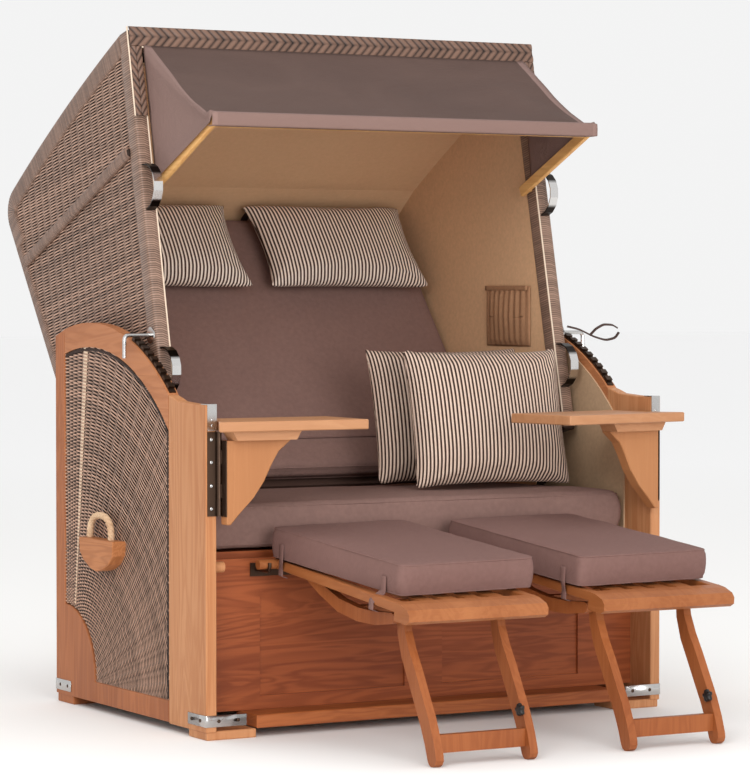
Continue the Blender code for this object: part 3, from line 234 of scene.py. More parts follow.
reach = 60
floor = add_mesh("floor", [(-reach, -reach, 0), (reach, -reach, 0), (reach, reach, 0), (-reach, reach, 0)],
                 [(0, 1, 2, 3)])
ground, near_tone, far_tone = Finish("pale_floor", 0.9), colour((244, 243, 241)), (0.985, 0.985, 0.985, 1.0)
away = ground.node("VectorMath", {"operation": "LENGTH"}, ground.place(), out=1)
floor.data.materials.append(ground.done(ground.mix(ground.ramp(away, 2.0, 11.0), near_tone, far_tone)))


# The boards of the base are oiled hardwood, sawn along the grain: reddish brown with darker streaks,
# fine pores and a few knots. Posts and sills stand in pale straight-grained boards, the arches are a
# little darker, and the panels between them are the darkest.
def hardwood(name, tone, dark, grain, shift=(0, 0, 0), streaks=1.0, roughness=0.46):
    """Oiled wood; grain is the axis the boards run along: 0, 1 or 2."""
    f = Finish(name, roughness)
    stretch = [9.0, 9.0, 9.0]
    stretch[grain] = 0.9
    at = f.place(stretch, shift)
    cathedral = f.noise(at, 1.6, 3.0, 0.55, 1.2)
    rings = (cathedral * 42.0).sine() * 0.5 + 0.5
    broad = f.noise(f.place([s * 0.35 for s in stretch], shift), 1.7, 2.0)
    fine_stretch = [160.0, 160.0, 160.0]
    fine_stretch[grain] = 5.0
    pores = f.noise(f.place(fine_stretch, shift), 1.0, 2.0, 0.6)
    share = f.ramp(rings * (0.24 * streaks) + broad * 0.75 + pores * 0.22, 0.30, 0.90)
    base = f.mix(share, colour(dark), colour(tone))
    base = f.mix(f.ramp(pores, 0.60, 0.78) * (0.35 * streaks), base, colour(dark, 0.55))
    knot = f.node("TexVoronoi", None, Vector=f.place([s * 0.28 for s in stretch], shift), Scale=1.3)
    base = f.mix(f.ramp(knot, 0.055, 0.02) * 0.7, base, colour(dark, 0.35))
    rough = f.ramp(pores, 0.2, 0.8) * 0.16 + roughness
    return f.done(base, rough, pores * 0.6 + rings * 0.4, 0.0004, 0.5)


def dress(name, finish):
    """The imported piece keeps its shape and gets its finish."""
    for slot in nodes[name].material_slots:
        slot.material = finish


post_wood = hardwood("post_wood", (196, 140, 98), (168, 108, 68), 2)
sill_wood = hardwood("sill_wood", (164, 94, 52), (120, 60, 30), 0, (0.3, 0.1, 0.7))
arch_wood = hardwood("arch_wood", (184, 122, 82), (152, 92, 56), 1, (0.2, 0.5, 0.1))
panel_wood = hardwood("panel_wood", (160, 86, 48), (112, 52, 25), 0, (0.7, 0.2, 0.4))
for side in ("left", "right"):
    dress("front_post_" + side, post_wood)
    dress("arch_" + side, arch_wood)
    for name, tone, dark, grain, shift in (
            ("rear_frame_", (172, 106, 66), (136, 78, 46), 2, (0.9, 0.3, 0.2)),
            ("rope_block_", (186, 122, 78), (146, 86, 48), 1, (1.7, 0.4, 0.2))):
        dress(name + side, hardwood(name + "wood_" + side, tone, dark, grain, shift))
dress("front_sill", sill_wood)
for name in ("front_panel", "rear_panel", "seat_board"):
    dress(name, panel_wood)


# The hood's outline, seen from the side: a slightly arched roof from the front beam to the knee, a
# rounded knee and a straight back that leans down to the pivot. Posts and beam lean with the hood.
roof_front, roof_rear = Vector((0.239, 1.5786)), Vector((0.8698, 1.2382))
knee_centre, knee_radius = Vector((0.8412, 1.1852)), 0.060
back_foot = Vector((0.3849, 0.480))
shell_half, side_plane, inner_wall = 0.552, 0.546, 0.5216
lean, front_origin = math.radians(-12.5), (0, 0.19924, 1.600)
front_place = Matrix.Translation(front_origin) @ Matrix.Rotation(lean, 4, "X")
front_axes = front_place.to_3x3()


def run_length(points):
    """How far each point lies along the line through all of them."""
    return np.r_[0, np.cumsum(np.linalg.norm(np.diff(points, axis=0), axis=1))]


def directions(points):
    """The unit direction of a line at each of its points."""
    tangent = np.gradient(points, axis=0)
    return tangent / np.linalg.norm(tangent, axis=1)[:, None]


def spaced(points, places):
    """Points (y, z) or (x, y) at given lengths along a line."""
    lengths = run_length(points)
    return np.column_stack([np.interp(places, lengths, points[:, i]) for i in (0, 1)])


def shell_line(inset, step):
    """Points (y, z) along roof, knee and back, inset from the outer skin, evenly spaced."""
    rise = roof_rear - roof_front
    normal = Vector((-rise.y, rise.x)).normalized()
    line = []
    for share in np.linspace(0, 1, 24):
        line.append(roof_front + rise * share + normal * (4 * 0.012 * share * (1 - share)))
    start = math.atan2(roof_rear.y - knee_centre.y, roof_rear.x - knee_centre.x)
    for angle in np.linspace(start, -0.645, 14)[1:]:
        line.append(knee_centre + Vector((math.cos(angle), math.sin(angle))) * knee_radius)
    line.append(back_foot)
    line = np.array([tuple(p) for p in line])
    tangent = directions(line)
    line = line - np.column_stack((-tangent[:, 1], tangent[:, 0])) * inset
    return spaced(line, np.arange(0, run_length(line)[-1], step))


def inside(outline, points):
    """Whether points lie inside an outline of (y, z) corners."""
    y, z = points[..., 1], points[..., 2]
    result = np.zeros(y.shape, bool)
    for (y0, z0), (y1, z1) in zip(outline, outline[1:] + outline[:1]):
        crosses = (z0 > z) != (z1 > z)
        slope = (y1 - y0) / (z1 - z0) if z1 != z0 else 0.0
        result ^= crosses & (y < slope * (z - z0) + y0)
    return result


class Ribbons:
    """Gathers narrow crowned strips, three points wide, into one piece."""

    def __init__(self):
        self.points, self.faces, self.uv, self.count = [], [], [], 0

    def add(self, centre, outward, across, half, crown, row, along):
        n = len(centre)
        if n < 2:
            return
        reach = across * half
        strip = np.stack((centre - reach, centre + outward * crown, centre + reach), 1)
        self.points.append(strip.reshape(-1, 3))
        share = np.tile([0.03, 0.5, 0.97], (n, 1))
        self.uv.append(np.stack((np.repeat(along[:, None], 3, 1), row + share), 2).reshape(-1, 2))
        i = self.count + 3 * np.arange(n - 1)
        for k in (0, 1):
            self.faces.append(np.column_stack((i + k, i + k + 3, i + k + 4, i + k + 1)))
        self.count += 3 * n

    def piece(self, name, finish, flip=False):
        faces = np.concatenate(self.faces)
        if flip:
            faces = faces[:, ::-1]
        obj = add_mesh(name, np.concatenate(self.points), faces.tolist(), np.concatenate(self.uv))
        obj.data.materials.append(finish)
        return obj


def carried(body, slot, *pieces):
    """The body that pieces ride on; slot, the material slot that they show, is not used."""
    for piece in pieces:
        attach(piece, body)


def weave(name, spot, rows, first, last, pitch, clip, finish, strand=0.0017, lift=0.0021, flip=False,
          halvings=7):
    """Strands that pass over one stake and under the next, row by row. spot(row, column) gives the
    middle, the outward direction and the direction from row to row; clip says where strands show."""
    made = Ribbons()
    for row in range(rows):
        column = np.arange(first, last + 0.01, 0.25)
        centre, outward, across = spot(np.full_like(column, row), column)
        shown = clip(centre)
        edges = np.flatnonzero(np.diff(np.r_[False, shown, False].astype(int)))
        for begin, end in zip(edges[::2], edges[1::2]):
            # Each end of a strand is found by halving its last step, up to where the clip cuts it off.
            ends = []
            for good, bad in ((begin, begin - 1), (end - 1, end)):
                low = column[good]
                high = column[bad] if 0 <= bad < len(column) else low
                for _ in range(halvings):
                    middle = (low + high) / 2
                    place = spot(np.array([float(row)]), np.array([middle]))[0]
                    if clip(place)[0]:
                        low = middle
                    else:
                        high = middle
                ends.append(low)
            run = np.unique(np.r_[ends[0], column[begin:end], ends[1]])
            centre, outward, across = spot(np.full_like(run, row), run)
            swing = lift * np.cos(math.pi * (run + row))
            made.add(centre + outward * swing[:, None], outward, across, strand, 0.0009, row, run * pitch)
    return made.piece(name, finish, flip)


def stakes(name, spot, rows, columns, clip, finish, half=0.0032, flip=False):
    """The upright stakes that the strands are woven around; their dark cane is painted shade in the
    gaps of the weave.
    """
    made = Ribbons()
    for column in columns:
        row = np.arange(0, rows + 0.1, 3.0)
        centre, outward, across = spot(row, np.full_like(row, column))
        shown = clip(centre)
        side = np.cross(outward, across)
        keep = np.flatnonzero(shown)
        if len(keep) > 1:
            keep = slice(keep[0], keep[-1] + 1)
            made.add((centre - outward * 0.0008)[keep], outward[keep], side[keep], half, 0.0012, column,
                     row[keep] * 0.004)
    return made.piece(name, finish, not flip)


def wicker(name, tone, dark, pitch, spread=0.5):
    """Glossy synthetic cane: every strand has its own tone and faint lines along it, with painted
    shade at its edges and on the half that passes under a stake.
    """
    f = Finish(name, 0.42)
    uv = f.uv()
    split = uv.part(1)
    row = split.floor()
    own = f.chance(row)
    across = split.fract()
    edge = (across - 0.5).absolute() * 2.0
    lines = f.noise(f.mapped(uv, (30, 9, 1)), 1.0, 2.0)
    tint = f.noise(f.place(), 2.2, 2.0)
    turns = uv.part(0) / pitch + row.floor()
    swing = (turns * math.pi).cosine()
    # Painted shade: the strand darkens towards its edges and where it dips under a stake.
    share = f.ramp(own * spread + lines * 0.55 + tint * 0.4 - edge * edge * 0.5 + swing * 0.42, 0.0, 1.3)
    base = f.mix(share, colour(dark), colour(tone))
    return f.done(base, lines * 0.2 + 0.36, lines * 0.5, 0.0003, 0.4)


side_pitch, roof_pitch, fan_wave = 0.040, 0.044, 0.035
hood_cane = wicker("hood_cane", (200, 160, 138), (26, 17, 13), side_pitch)
roof_cane = wicker("roof_cane", (184, 149, 128), (38, 26, 21), roof_pitch)
# Stakes and backing are dark cane, whose dark tone is painted shade for the gaps in the weave.
dark_cane = wicker("stake_cane", (64, 46, 38), (30, 21, 17), 1.0)
fan_cane = wicker("fan_cane", (204, 162, 138), (26, 17, 13), fan_wave)
pale_cane = wicker("pale_cane", (226, 200, 172), (172, 142, 116), 1.0, 0.3)


# The hood's sides are woven: stakes run parallel to the front post, 40 mm apart, and strands
# cross them every 3.6 mm. A dark backing behind the weave is painted shade for its gaps.
strand_pitch, side_rows = 0.0036, 330
side_outline = [(0.2357, 1.581), (0.029, 0.650), (0.120, 0.500), (0.375, 0.500)]
side_outline += [tuple(p) for p in shell_line(0.012, 0.04)[::-1] if p[1] > 0.50]
for sign, side in both_sides:
    def side_spot(row, column, sign=sign):
        local = np.column_stack((np.full_like(row, sign * (side_plane + 0.0026)),
                                 0.028 + column * side_pitch, -row * strand_pitch))
        turn = np.array(front_axes)
        place = local @ turn.T + np.array(front_origin)
        return place, np.tile([sign, 0, 0], (len(row), 1)), np.tile(-turn[:, 2], (len(row), 1))

    def side_clip(points):
        return inside(side_outline, points)

    woven = weave("hood_weave_" + side, side_spot, side_rows, 0.0, 23.0, side_pitch, side_clip, hood_cane,
                  flip=sign < 0)
    posts = stakes("hood_stakes_" + side, side_spot, side_rows, range(0, 22), side_clip, dark_cane,
                   flip=sign < 0)
    carried("hood", "hood_weave", woven, posts)


# Roof and back are one woven skin: strands run from side to side over stakes that follow the shell.
# The cane is a little darker than at the sides, and its ends lie under the wrapped edge rails.
roof_rows = shell_line(-0.0026, 0.0046)
roof_tangent, roof_half = directions(roof_rows), 0.530


def roof_spot(row, column):
    y, z, ty, tz = (np.interp(row, np.arange(len(roof_rows)), a)
                    for a in (roof_rows[:, 0], roof_rows[:, 1], roof_tangent[:, 0], roof_tangent[:, 1]))
    zero = np.zeros_like(row)
    return (np.column_stack((column * roof_pitch, y, z)), np.column_stack((zero, -tz, ty)),
            np.column_stack((zero, ty, tz)))


def roof_clip(points):
    return np.abs(points[:, 0]) < roof_half


roof_weave = weave("roof_weave", roof_spot, len(roof_rows), -12.25, 12.25, roof_pitch, roof_clip, roof_cane,
                   strand=0.0021)
roof_stakes = stakes("roof_stakes", roof_spot, len(roof_rows) - 1, range(-11, 12), roof_clip, dark_cane)
carried("hood", "hood_weave", roof_weave, roof_stakes)
# The roof under the weave is dark cane: painted shade seen through the gaps.
dress("hood_roof", dark_cane)


# The rails of the hood are wrapped crosswise with flat cane: posts and beam at the front, the edge
# rails over roof, knee and back, and a rail across each side.
def face_outward(obj, weld=None):
    """Turns the faces of a closed piece outward, after welding the points of its seam."""
    shape = bmesh.new()
    shape.from_mesh(obj.data)
    if weld:
        bmesh.ops.remove_doubles(shape, verts=shape.verts, dist=weld)
    if shape.calc_volume(signed=True) < 0:
        bmesh.ops.reverse_faces(shape, faces=shape.faces)
    shape.to_mesh(obj.data)
    shape.free()
    obj.data.shade_smooth()


def net_faces(rows, columns, closed=False):
    """The four-cornered faces of a net of points; closed joins its last column to its first."""
    i, j = np.meshgrid(np.arange(rows - 1), np.arange(columns if closed else columns - 1), indexing="ij")
    k = (j + 1) % columns
    faces = (i * columns + j, i * columns + k, (i + 1) * columns + k, (i + 1) * columns + j)
    return np.stack(faces, -1).reshape(-1, 4)


def sweep(name, path, section, outward, finish, slot, ridge=0.0, pitch=0.005, twist=0.0, caps=True,
          body="hood"):
    """A skin along a path. section holds (sideways, outward) offsets and outward is a direction, one for
    the whole path or one for each point. Ridges cross it every pitch; twist is in turns a metre."""
    path = np.asarray(path, float)
    tangent = directions(path)
    outward = np.broadcast_to(np.asarray(outward, float), path.shape)
    side = np.cross(tangent, outward)
    side /= np.linalg.norm(side, axis=1)[:, None]
    outward = np.cross(side, tangent)
    along = run_length(path)
    section = np.asarray(section, float)
    n, m = len(path), len(section)
    phase = np.arange(m) / m
    wave = np.abs(np.sin(math.pi * (along[:, None] / pitch + phase[None, :]))) ** 0.6 if ridge else 0.0
    length = np.linalg.norm(section, axis=1)
    unit = section / length[:, None]
    reach = length[None, :] + ridge * (wave - 1.0)
    turn = 2 * math.pi * twist * along[:, None]
    a = unit[None, :, 0] * np.cos(turn) - unit[None, :, 1] * np.sin(turn)
    b = unit[None, :, 0] * np.sin(turn) + unit[None, :, 1] * np.cos(turn)
    points = path[:, None, :] + side[:, None, :] * (a * reach)[..., None]
    points = points + outward[:, None, :] * (b * reach)[..., None]
    faces = net_faces(n, m, closed=True).tolist()
    if caps:
        faces += [list(range(m))[::-1], list(range((n - 1) * m, n * m))]
    uv = np.stack((np.broadcast_to(along[:, None], (n, m)), np.broadcast_to(phase[None, :], (n, m))), -1)
    obj = add_mesh(name, points.reshape(-1, 3), faces, uv.reshape(-1, 2))
    face_outward(obj)
    obj.data.materials.append(finish)
    carried(body, slot, obj)
    return obj


def rounded(half_a, half_b, radius, arc=3):
    """A rectangle's outline with round corners, evenly cut into short sides."""
    points = []
    for ca, cb, start in ((1, 1, 0), (-1, 1, 90), (-1, -1, 180), (1, -1, 270)):
        for step in range(arc + 1):
            angle = math.radians(start + 90 * step / arc)
            points.append((ca * (half_a - radius) + radius * math.cos(angle),
                           cb * (half_b - radius) + radius * math.sin(angle)))
    dense = []
    for (a0, b0), (a1, b1) in zip(points, points[1:] + points[:1]):
        dense.append((a0, b0))
        if math.hypot(a1 - a0, b1 - b0) > 0.012:
            dense.append(((a0 + a1) / 2, (b0 + b1) / 2))
    return dense


def line(start, end, step):
    """Evenly spaced points from start to end."""
    start, end = np.asarray(start, float), np.asarray(end, float)
    count = max(2, int(np.linalg.norm(end - start) / step) + 1)
    return start + (end - start) * np.linspace(0, 1, count)[:, None]


def wrap_cane(name, tone, dark, pitch):
    """Flat cane wound round a rail: a tone for each turn, with painted shade in the grooves between
    turns.
    """
    f = Finish(name, 0.38)
    uv = f.uv()
    turns = uv.part(0) / pitch + uv.part(1)
    own = f.chance(turns.floor())
    # Painted shade: darker in the grooves between turns.
    groove = (turns * math.pi).sine().absolute()
    lines = f.noise(f.place((1, 1, 1)), 260.0, 2.0)
    share = f.ramp(groove * 0.8 + own * 0.35 + lines * 0.25, 0.15, 1.25)
    return f.done(f.mix(share, colour(dark), colour(tone)), lines * 0.2 + 0.26, lines, 0.0003, 0.3)


wrap_pitch, wrap_ridge, wrap_depth, rail_corner, brace_plane = 0.0054, 0.0011, 0.0205, 0.006, 0.553
edge_x, knee_height, overlap, beam_drop = 0.5395, 1.10, 0.003, 0.0285
post_wrap = wrap_cane("post_wrap", (158, 128, 111), (54, 39, 32), wrap_pitch)
rail_wrap = wrap_cane("rail_wrap", (150, 120, 104), (46, 33, 27), wrap_pitch)
for sign, side in both_sides:
    post_x = sign * (shell_half + inner_wall) / 2
    top, foot = (front_place @ Vector((post_x, wrap_depth, -drop)) for drop in (0.012, 0.966))
    sweep("post_wrap_" + side, line(top, foot, wrap_pitch / 4), rounded(0.0228, 0.0176, rail_corner),
          (1, 0, 0), post_wrap, "hood_weave", wrap_ridge, wrap_pitch)
    edge = shell_line(0.023, wrap_pitch / 4)
    edge_path = np.column_stack((np.full(len(edge), sign * edge_x), edge))
    upper = edge_path[edge[:, 1] > knee_height]
    lower = edge_path[edge[:, 1] <= knee_height + overlap] + np.array([0, 0.009, -0.007])
    brace = line((sign * brace_plane, 0.186, 1.3065), (sign * brace_plane, 0.7795, 1.0617), wrap_pitch / 4)
    for label, path, section in (("edge_rail_upper_", upper, rounded(0.0255, 0.0155, rail_corner)),
                                 ("edge_rail_lower_", lower[::-1], rounded(0.0155, 0.0150, rail_corner)),
                                 ("cross_rail_", brace, rounded(0.0150, 0.0092, 0.0088))):
        sweep(label + side, path, section, (1, 0, 0), rail_wrap, "hood_weave",
              0.001 if path is brace else wrap_ridge, wrap_pitch)
beam_ends = [front_place @ Vector((x, wrap_depth, -beam_drop)) for x in (-inner_wall, inner_wall)]
sweep("beam_wrap", line(*beam_ends, wrap_pitch / 4), rounded(0.0228, 0.0232, rail_corner),
      front_axes @ Vector((0, 0, 1)), post_wrap, "hood_weave", wrap_ridge, wrap_pitch)
dress("hood_front_frame", dark_cane)


# The side windows of the base are woven as a fan: stakes spread from the lower rear corner and the
# strands run in arcs round it. One stake is covered in pale strands, and a twisted rim closes the fan
# under the arch.
window_plane, rim_plane, edge_plane = 0.5966, 0.5962, 0.5960
window_front, window_rear, window_floor = -0.1202, 0.4479, 0.0693
arch_centre, arch_inner, block_reach = (0.30124, 0.270), 0.5855, 0.174
fan_apex, fan_start, fan_pitch, fan_rows, rim_radius = (0.415, 0.025), 0.10, 0.0041, 212, 0.0052


def laid(radius, groove, count):
    """The section of a rope of three strands, for a sweep with a twist."""
    angles = np.linspace(0, 2 * math.pi, count, endpoint=False)
    reach = [radius * (1 - groove + groove * abs(math.cos(1.5 * a))) for a in angles]
    return [(r * math.cos(a), r * math.sin(a)) for r, a in zip(reach, angles)]


def arc_points(centre, radius, start, end, count):
    """Points (y, z) on an arc; angles in degrees from +y towards +z."""
    return [(centre[0] + radius * math.cos(math.radians(a)), centre[1] + radius * math.sin(math.radians(a)))
            for a in np.linspace(start, end, count)]


fan_arch = arc_points(arch_centre, arch_inner, 75.5, 136.1, 24)
window_outline = fan_arch + [(window_front, window_floor)]
window_outline += arc_points((window_rear, window_floor), block_reach, 180, 90, 12)
for sign, side in both_sides:
    def fan_spot(row, column, sign=sign):
        angle = np.radians(1.7 * column + 0.09 * column * np.abs(column))
        reach = fan_start + row * fan_pitch
        zero = np.zeros_like(angle)
        away = np.column_stack((zero, -np.sin(angle), np.cos(angle)))
        place = away * reach[:, None] + np.array([sign * window_plane, *fan_apex])
        return place, np.tile([sign, 0, 0], (len(row), 1)), away

    def fan_clip(points):
        return inside(window_outline, points)

    fan = weave("fan_weave_" + side, fan_spot, fan_rows, -4.0, 26.0, fan_wave, fan_clip, fan_cane, 0.0019,
                0.0022, flip=sign < 0)
    fan_stakes = stakes("fan_stakes_" + side, fan_spot, fan_rows, range(-3, 26), fan_clip, dark_cane,
                        flip=sign < 0)
    pale = Ribbons()
    for row in range(30, fan_rows, 2):
        column = np.linspace(2.62, 3.38, 7)
        centre, outward, across = fan_spot(np.full_like(column, row), column)
        if fan_clip(centre).all():
            swell = 0.0030 * np.cos(math.pi * (column - 3))
            pale.add(centre + outward * swell[:, None], outward, across, 0.0024, 0.0010, row, column * 0.02)
    pale_rib = pale.piece("fan_pale_rib_" + side, pale_cane, sign < 0)
    rim_path = [(sign * rim_plane, y, z)
                for y, z in arc_points(arch_centre, arch_inner - 0.0065, 76, 135.6, 260)]
    edge_ends = [(sign * edge_plane, window_front + 0.005, z) for z in (0.674, window_floor + 0.004)]
    for label, path in (("fan_rim_", rim_path), ("fan_edge_", line(*edge_ends, 0.0024))):
        sweep(label + side, path, laid(rim_radius, 0.22, 18), (1, 0, 0), dark_cane, "fan_weave", twist=38,
              body="base")
    carried("base", "fan_weave", fan, fan_stakes, pale_rib)


# The front beam carries a braided band that turns down both posts: two rows of slanting bundles meet
# in a groove. Thin pale cord edges the band and the inner edge of the posts.
def circle(radius, count=8):
    """A round section for a sweep."""
    angles = np.linspace(0, 2 * math.pi, count, endpoint=False)
    return [(radius * math.cos(a), radius * math.sin(a)) for a in angles]


def braid(name, start, end, half, outward, finish, pitch=0.0205):
    """A herringbone band between two points, drawn as a relief of slanting bundles."""
    path = line(start, end, pitch / 16)
    tangent = (path[-1] - path[0]) / np.linalg.norm(path[-1] - path[0])
    side = np.cross(tangent, outward)
    share = np.linspace(-1, 1, 25)
    along = np.linalg.norm(path - path[0], axis=1)
    phase = along[:, None] / pitch + 1.15 * np.abs(share)[None, :]
    bundle = np.abs(np.sin(math.pi * phase)) ** 0.7
    strand = 0.72 + 0.28 * np.abs(np.sin(4 * math.pi * phase))
    shape = np.clip(np.sin(math.pi * np.clip(np.abs(share), 0.0, 1.0)), 0, 1) ** 0.35
    relief = 0.0012 + 0.0034 * bundle * strand * shape[None, :]
    relief[:, [0, -1]] = -0.004
    points = path[:, None, :] + side * (share * half)[None, :, None]
    points = points + np.asarray(outward) * relief[..., None]
    n, m = relief.shape
    uv = np.stack((np.broadcast_to(along[:, None], (n, m)), np.broadcast_to(share[None, :], (n, m))), -1)
    obj = add_mesh(name, points.reshape(-1, 3), net_faces(n, m).tolist(), uv.reshape(-1, 2))
    normal = obj.data.polygons[len(obj.data.polygons) // 2].normal
    if normal.dot(Vector(outward)) < 0:
        obj.data.flip_normals()
    obj.data.materials.append(finish)
    carried("hood", "braid", obj)
    return obj


def braid_cane(name, tone, dark, pitch=0.0205):
    """The band's cane: painted shade in the grooves between bundles and along the middle groove,
    with faint lines along each bundle.
    """
    f = Finish(name, 0.42)
    uv = f.uv()
    along = uv.part(0)
    away = uv.part(1).absolute()
    phase = along / pitch + away * 1.15
    own = f.chance(phase.floor())
    # Painted shade: darker in the grooves between bundles and along the middle, where the rows meet.
    groove = (phase * math.pi).sine().absolute()
    lines = f.noise(f.place(), 300.0, 2.0)
    share = f.ramp(groove * 0.95 + own * 0.3 + lines * 0.25 + f.ramp(away, 0.0, 0.25) * 0.25, 0.35, 1.5)
    return f.done(f.mix(share, colour(dark), colour(tone)), lines * 0.2 + 0.34, lines, 0.0003, 0.3)


band_cane = braid_cane("band_cane", (122, 94, 80), (28, 19, 15))
ahead = -(front_axes @ Vector((0, 1, 0)))
band_face, band_drop, post_drop = -0.0070, 0.0497, 0.215
band_ends = [front_place @ Vector((x, band_face, -band_drop / 2)) for x in (-0.5515, 0.5515)]
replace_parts(braid("braid_beam", *band_ends, band_drop / 2, ahead, band_cane), "hood_braid")
pale_cord = Finish("pale_cord", 0.7)
weft = pale_cord.wave("DIAGONAL", pale_cord.place(), 260.0)
tone = pale_cord.mix(weft * 0.5, colour((228, 208, 186)), colour((192, 166, 142)))
cord_finish = pale_cord.done(tone, None, weft, 0.0004, 0.4)
cord_section, cord_step, cord_x = circle(0.0021), 0.006, inner_wall - 0.0005
for sign, side in both_sides:
    x = sign * (shell_half + inner_wall) / 2
    ends = [front_place @ Vector((x, band_face, -drop)) for drop in (band_drop, post_drop)]
    braid("braid_post_" + side, *ends, 0.0152, ahead, band_cane)
    for label, x, y, drops in (("inner", cord_x, -0.001, (band_drop + 0.002, 0.962)),
                               ("outer", 0.5525, -0.0035, (0.001, post_drop))):
        ends = [front_place @ Vector((sign * x, y, -drop)) for drop in drops]
        sweep("cord_%s_%s" % (label, side), line(*ends, cord_step), cord_section, (1, 0, 0), cord_finish,
              "braid")
ends = [front_place @ Vector((x, -0.0085, -band_drop - 0.001)) for x in (-inner_wall, inner_wall)]
sweep("cord_beam", line(*ends, cord_step), cord_section, (0, 0, 1), cord_finish, "braid")


# The hood is lined with smooth awning cloth, warm beige and finely ribbed. The inner walls and the
# base's side panels carry the same cloth on their inner faces.
def cloth(name, tone, dark, threads=620.0, wear=0.25, roughness=0.85, stripe=None, dark_below=None):
    """Plain woven cloth with slubs; stripe gives a second colour and the width of one repeat, laid out
    along the piece's across attribute, the way over the cloth's surface."""
    f = Finish(name, roughness)
    at = f.place()
    warp = f.wave("X", at, threads, 0.6)
    leaning = f.mapped(at, turn=(math.pi / 4, 0, 0))
    weft = f.wave("Z", leaning, threads, 0.6)
    slub = f.noise(at, 90.0, 3.0, 0.6)
    broad = f.noise(at, 3.0, 3.0)
    share = f.ramp(warp * 0.22 + weft * 0.22 + slub * 0.45 + broad * wear, 0.15, 0.95)
    base = f.mix(share, colour(dark), colour(tone))
    if stripe:
        second, width = stripe
        across = f.node("Attribute", {"attribute_name": "across"}, out=2) / width
        bands = across.fract()
        thin = (across * 3.0 + 0.2).fract()
        share = f.ramp(bands, 0.40, 0.44) - f.ramp(bands, 0.94, 0.98)
        base = f.mix(share, base, colour(second))
        base = f.mix(f.ramp(thin, 0.78, 0.84) * 0.35, base, colour(dark, 0.8))
    if dark_below:
        # Below a given height the cloth turns dark brown.
        height = at.part(2)
        base = f.mix(f.ramp(height, dark_below, dark_below + 0.002), colour((84, 62, 54)), base)
    return f.done(base, broad * 0.1 + roughness - 0.05, warp + weft + slub, 0.0004, 0.45)


lining_cloth = cloth("lining_cloth", (226, 182, 142), (200, 158, 120), 380.0, dark_below=0.600)
dress("hood_lining", lining_cloth)


def two_faced(name, inner, outer, edge):
    """Cloth within a distance from the middle of the chair; outside it, behind the weave, a dark
    tone that is painted shade.
    """
    f = Finish(name, 0.7)
    x = f.place().part(0).absolute()
    slub = f.noise(f.place(), 120.0, 3.0)
    woven = f.mix(slub, colour(inner, 0.8), colour(inner, 1.1))
    # Painted shade: beyond edge, behind the weave, the piece is dark.
    base = f.mix(f.ramp(x, edge, edge + 0.0005), woven, colour(outer))
    return f.done(base, slub * 0.1 + 0.7, slub, 0.0003, 0.3)


inner_wall_cloth = two_faced("inner_wall_cloth", (216, 173, 134), (48, 36, 30), 0.5220)
base_lining_cloth = two_faced("base_lining_cloth", (190, 158, 126), (48, 36, 30), 0.5745)
for side in ("left", "right"):
    dress("hood_side_" + side, inner_wall_cloth)
    dress("side_weave_" + side, base_lining_cloth)


# The cushions are box-shaped foam in thick cloth: crowned tops, sides that bulge a little, piped seams
# above and below the sides, and small puckers where the stitching pulls.
def outline_points(corners, radius, step):
    """A closed outline with rounded corners, evenly spaced."""
    points = []
    count = len(corners)
    for index in range(count):
        before, here, after = (Vector(corners[(index + k) % count]) for k in (-1, 0, 1))
        enter, leave = (before - here).normalized() * radius, (after - here).normalized() * radius
        for share in np.linspace(0, 1, 8):
            a, b, c = here + enter, here, here + leave
            points.append((1 - share) ** 2 * a + 2 * share * (1 - share) * b + share ** 2 * c)
    points = np.array([tuple(p) for p in points + points[:1]])
    whole = run_length(points)[-1]
    return spaced(points, np.linspace(0, whole, max(16, int(whole / step)), endpoint=False))


def soft_noise(points, scale, seed):
    """Smooth waves in three directions, between -1 and 1, the same on each run."""
    rng = np.random.default_rng(seed)
    total = np.zeros(len(points))
    for _ in range(7):
        direction = rng.normal(size=3)
        direction /= np.linalg.norm(direction)
        total += np.sin(points @ direction * scale * rng.uniform(0.6, 1.6) * 2 * math.pi
                        + rng.uniform(0, 6.28))
    return total / 4


def set_down(points, matrix):
    """Points moved from a piece's own axes to its place on the chair."""
    return points @ matrix[:3, :3].T + matrix[:3, 3]


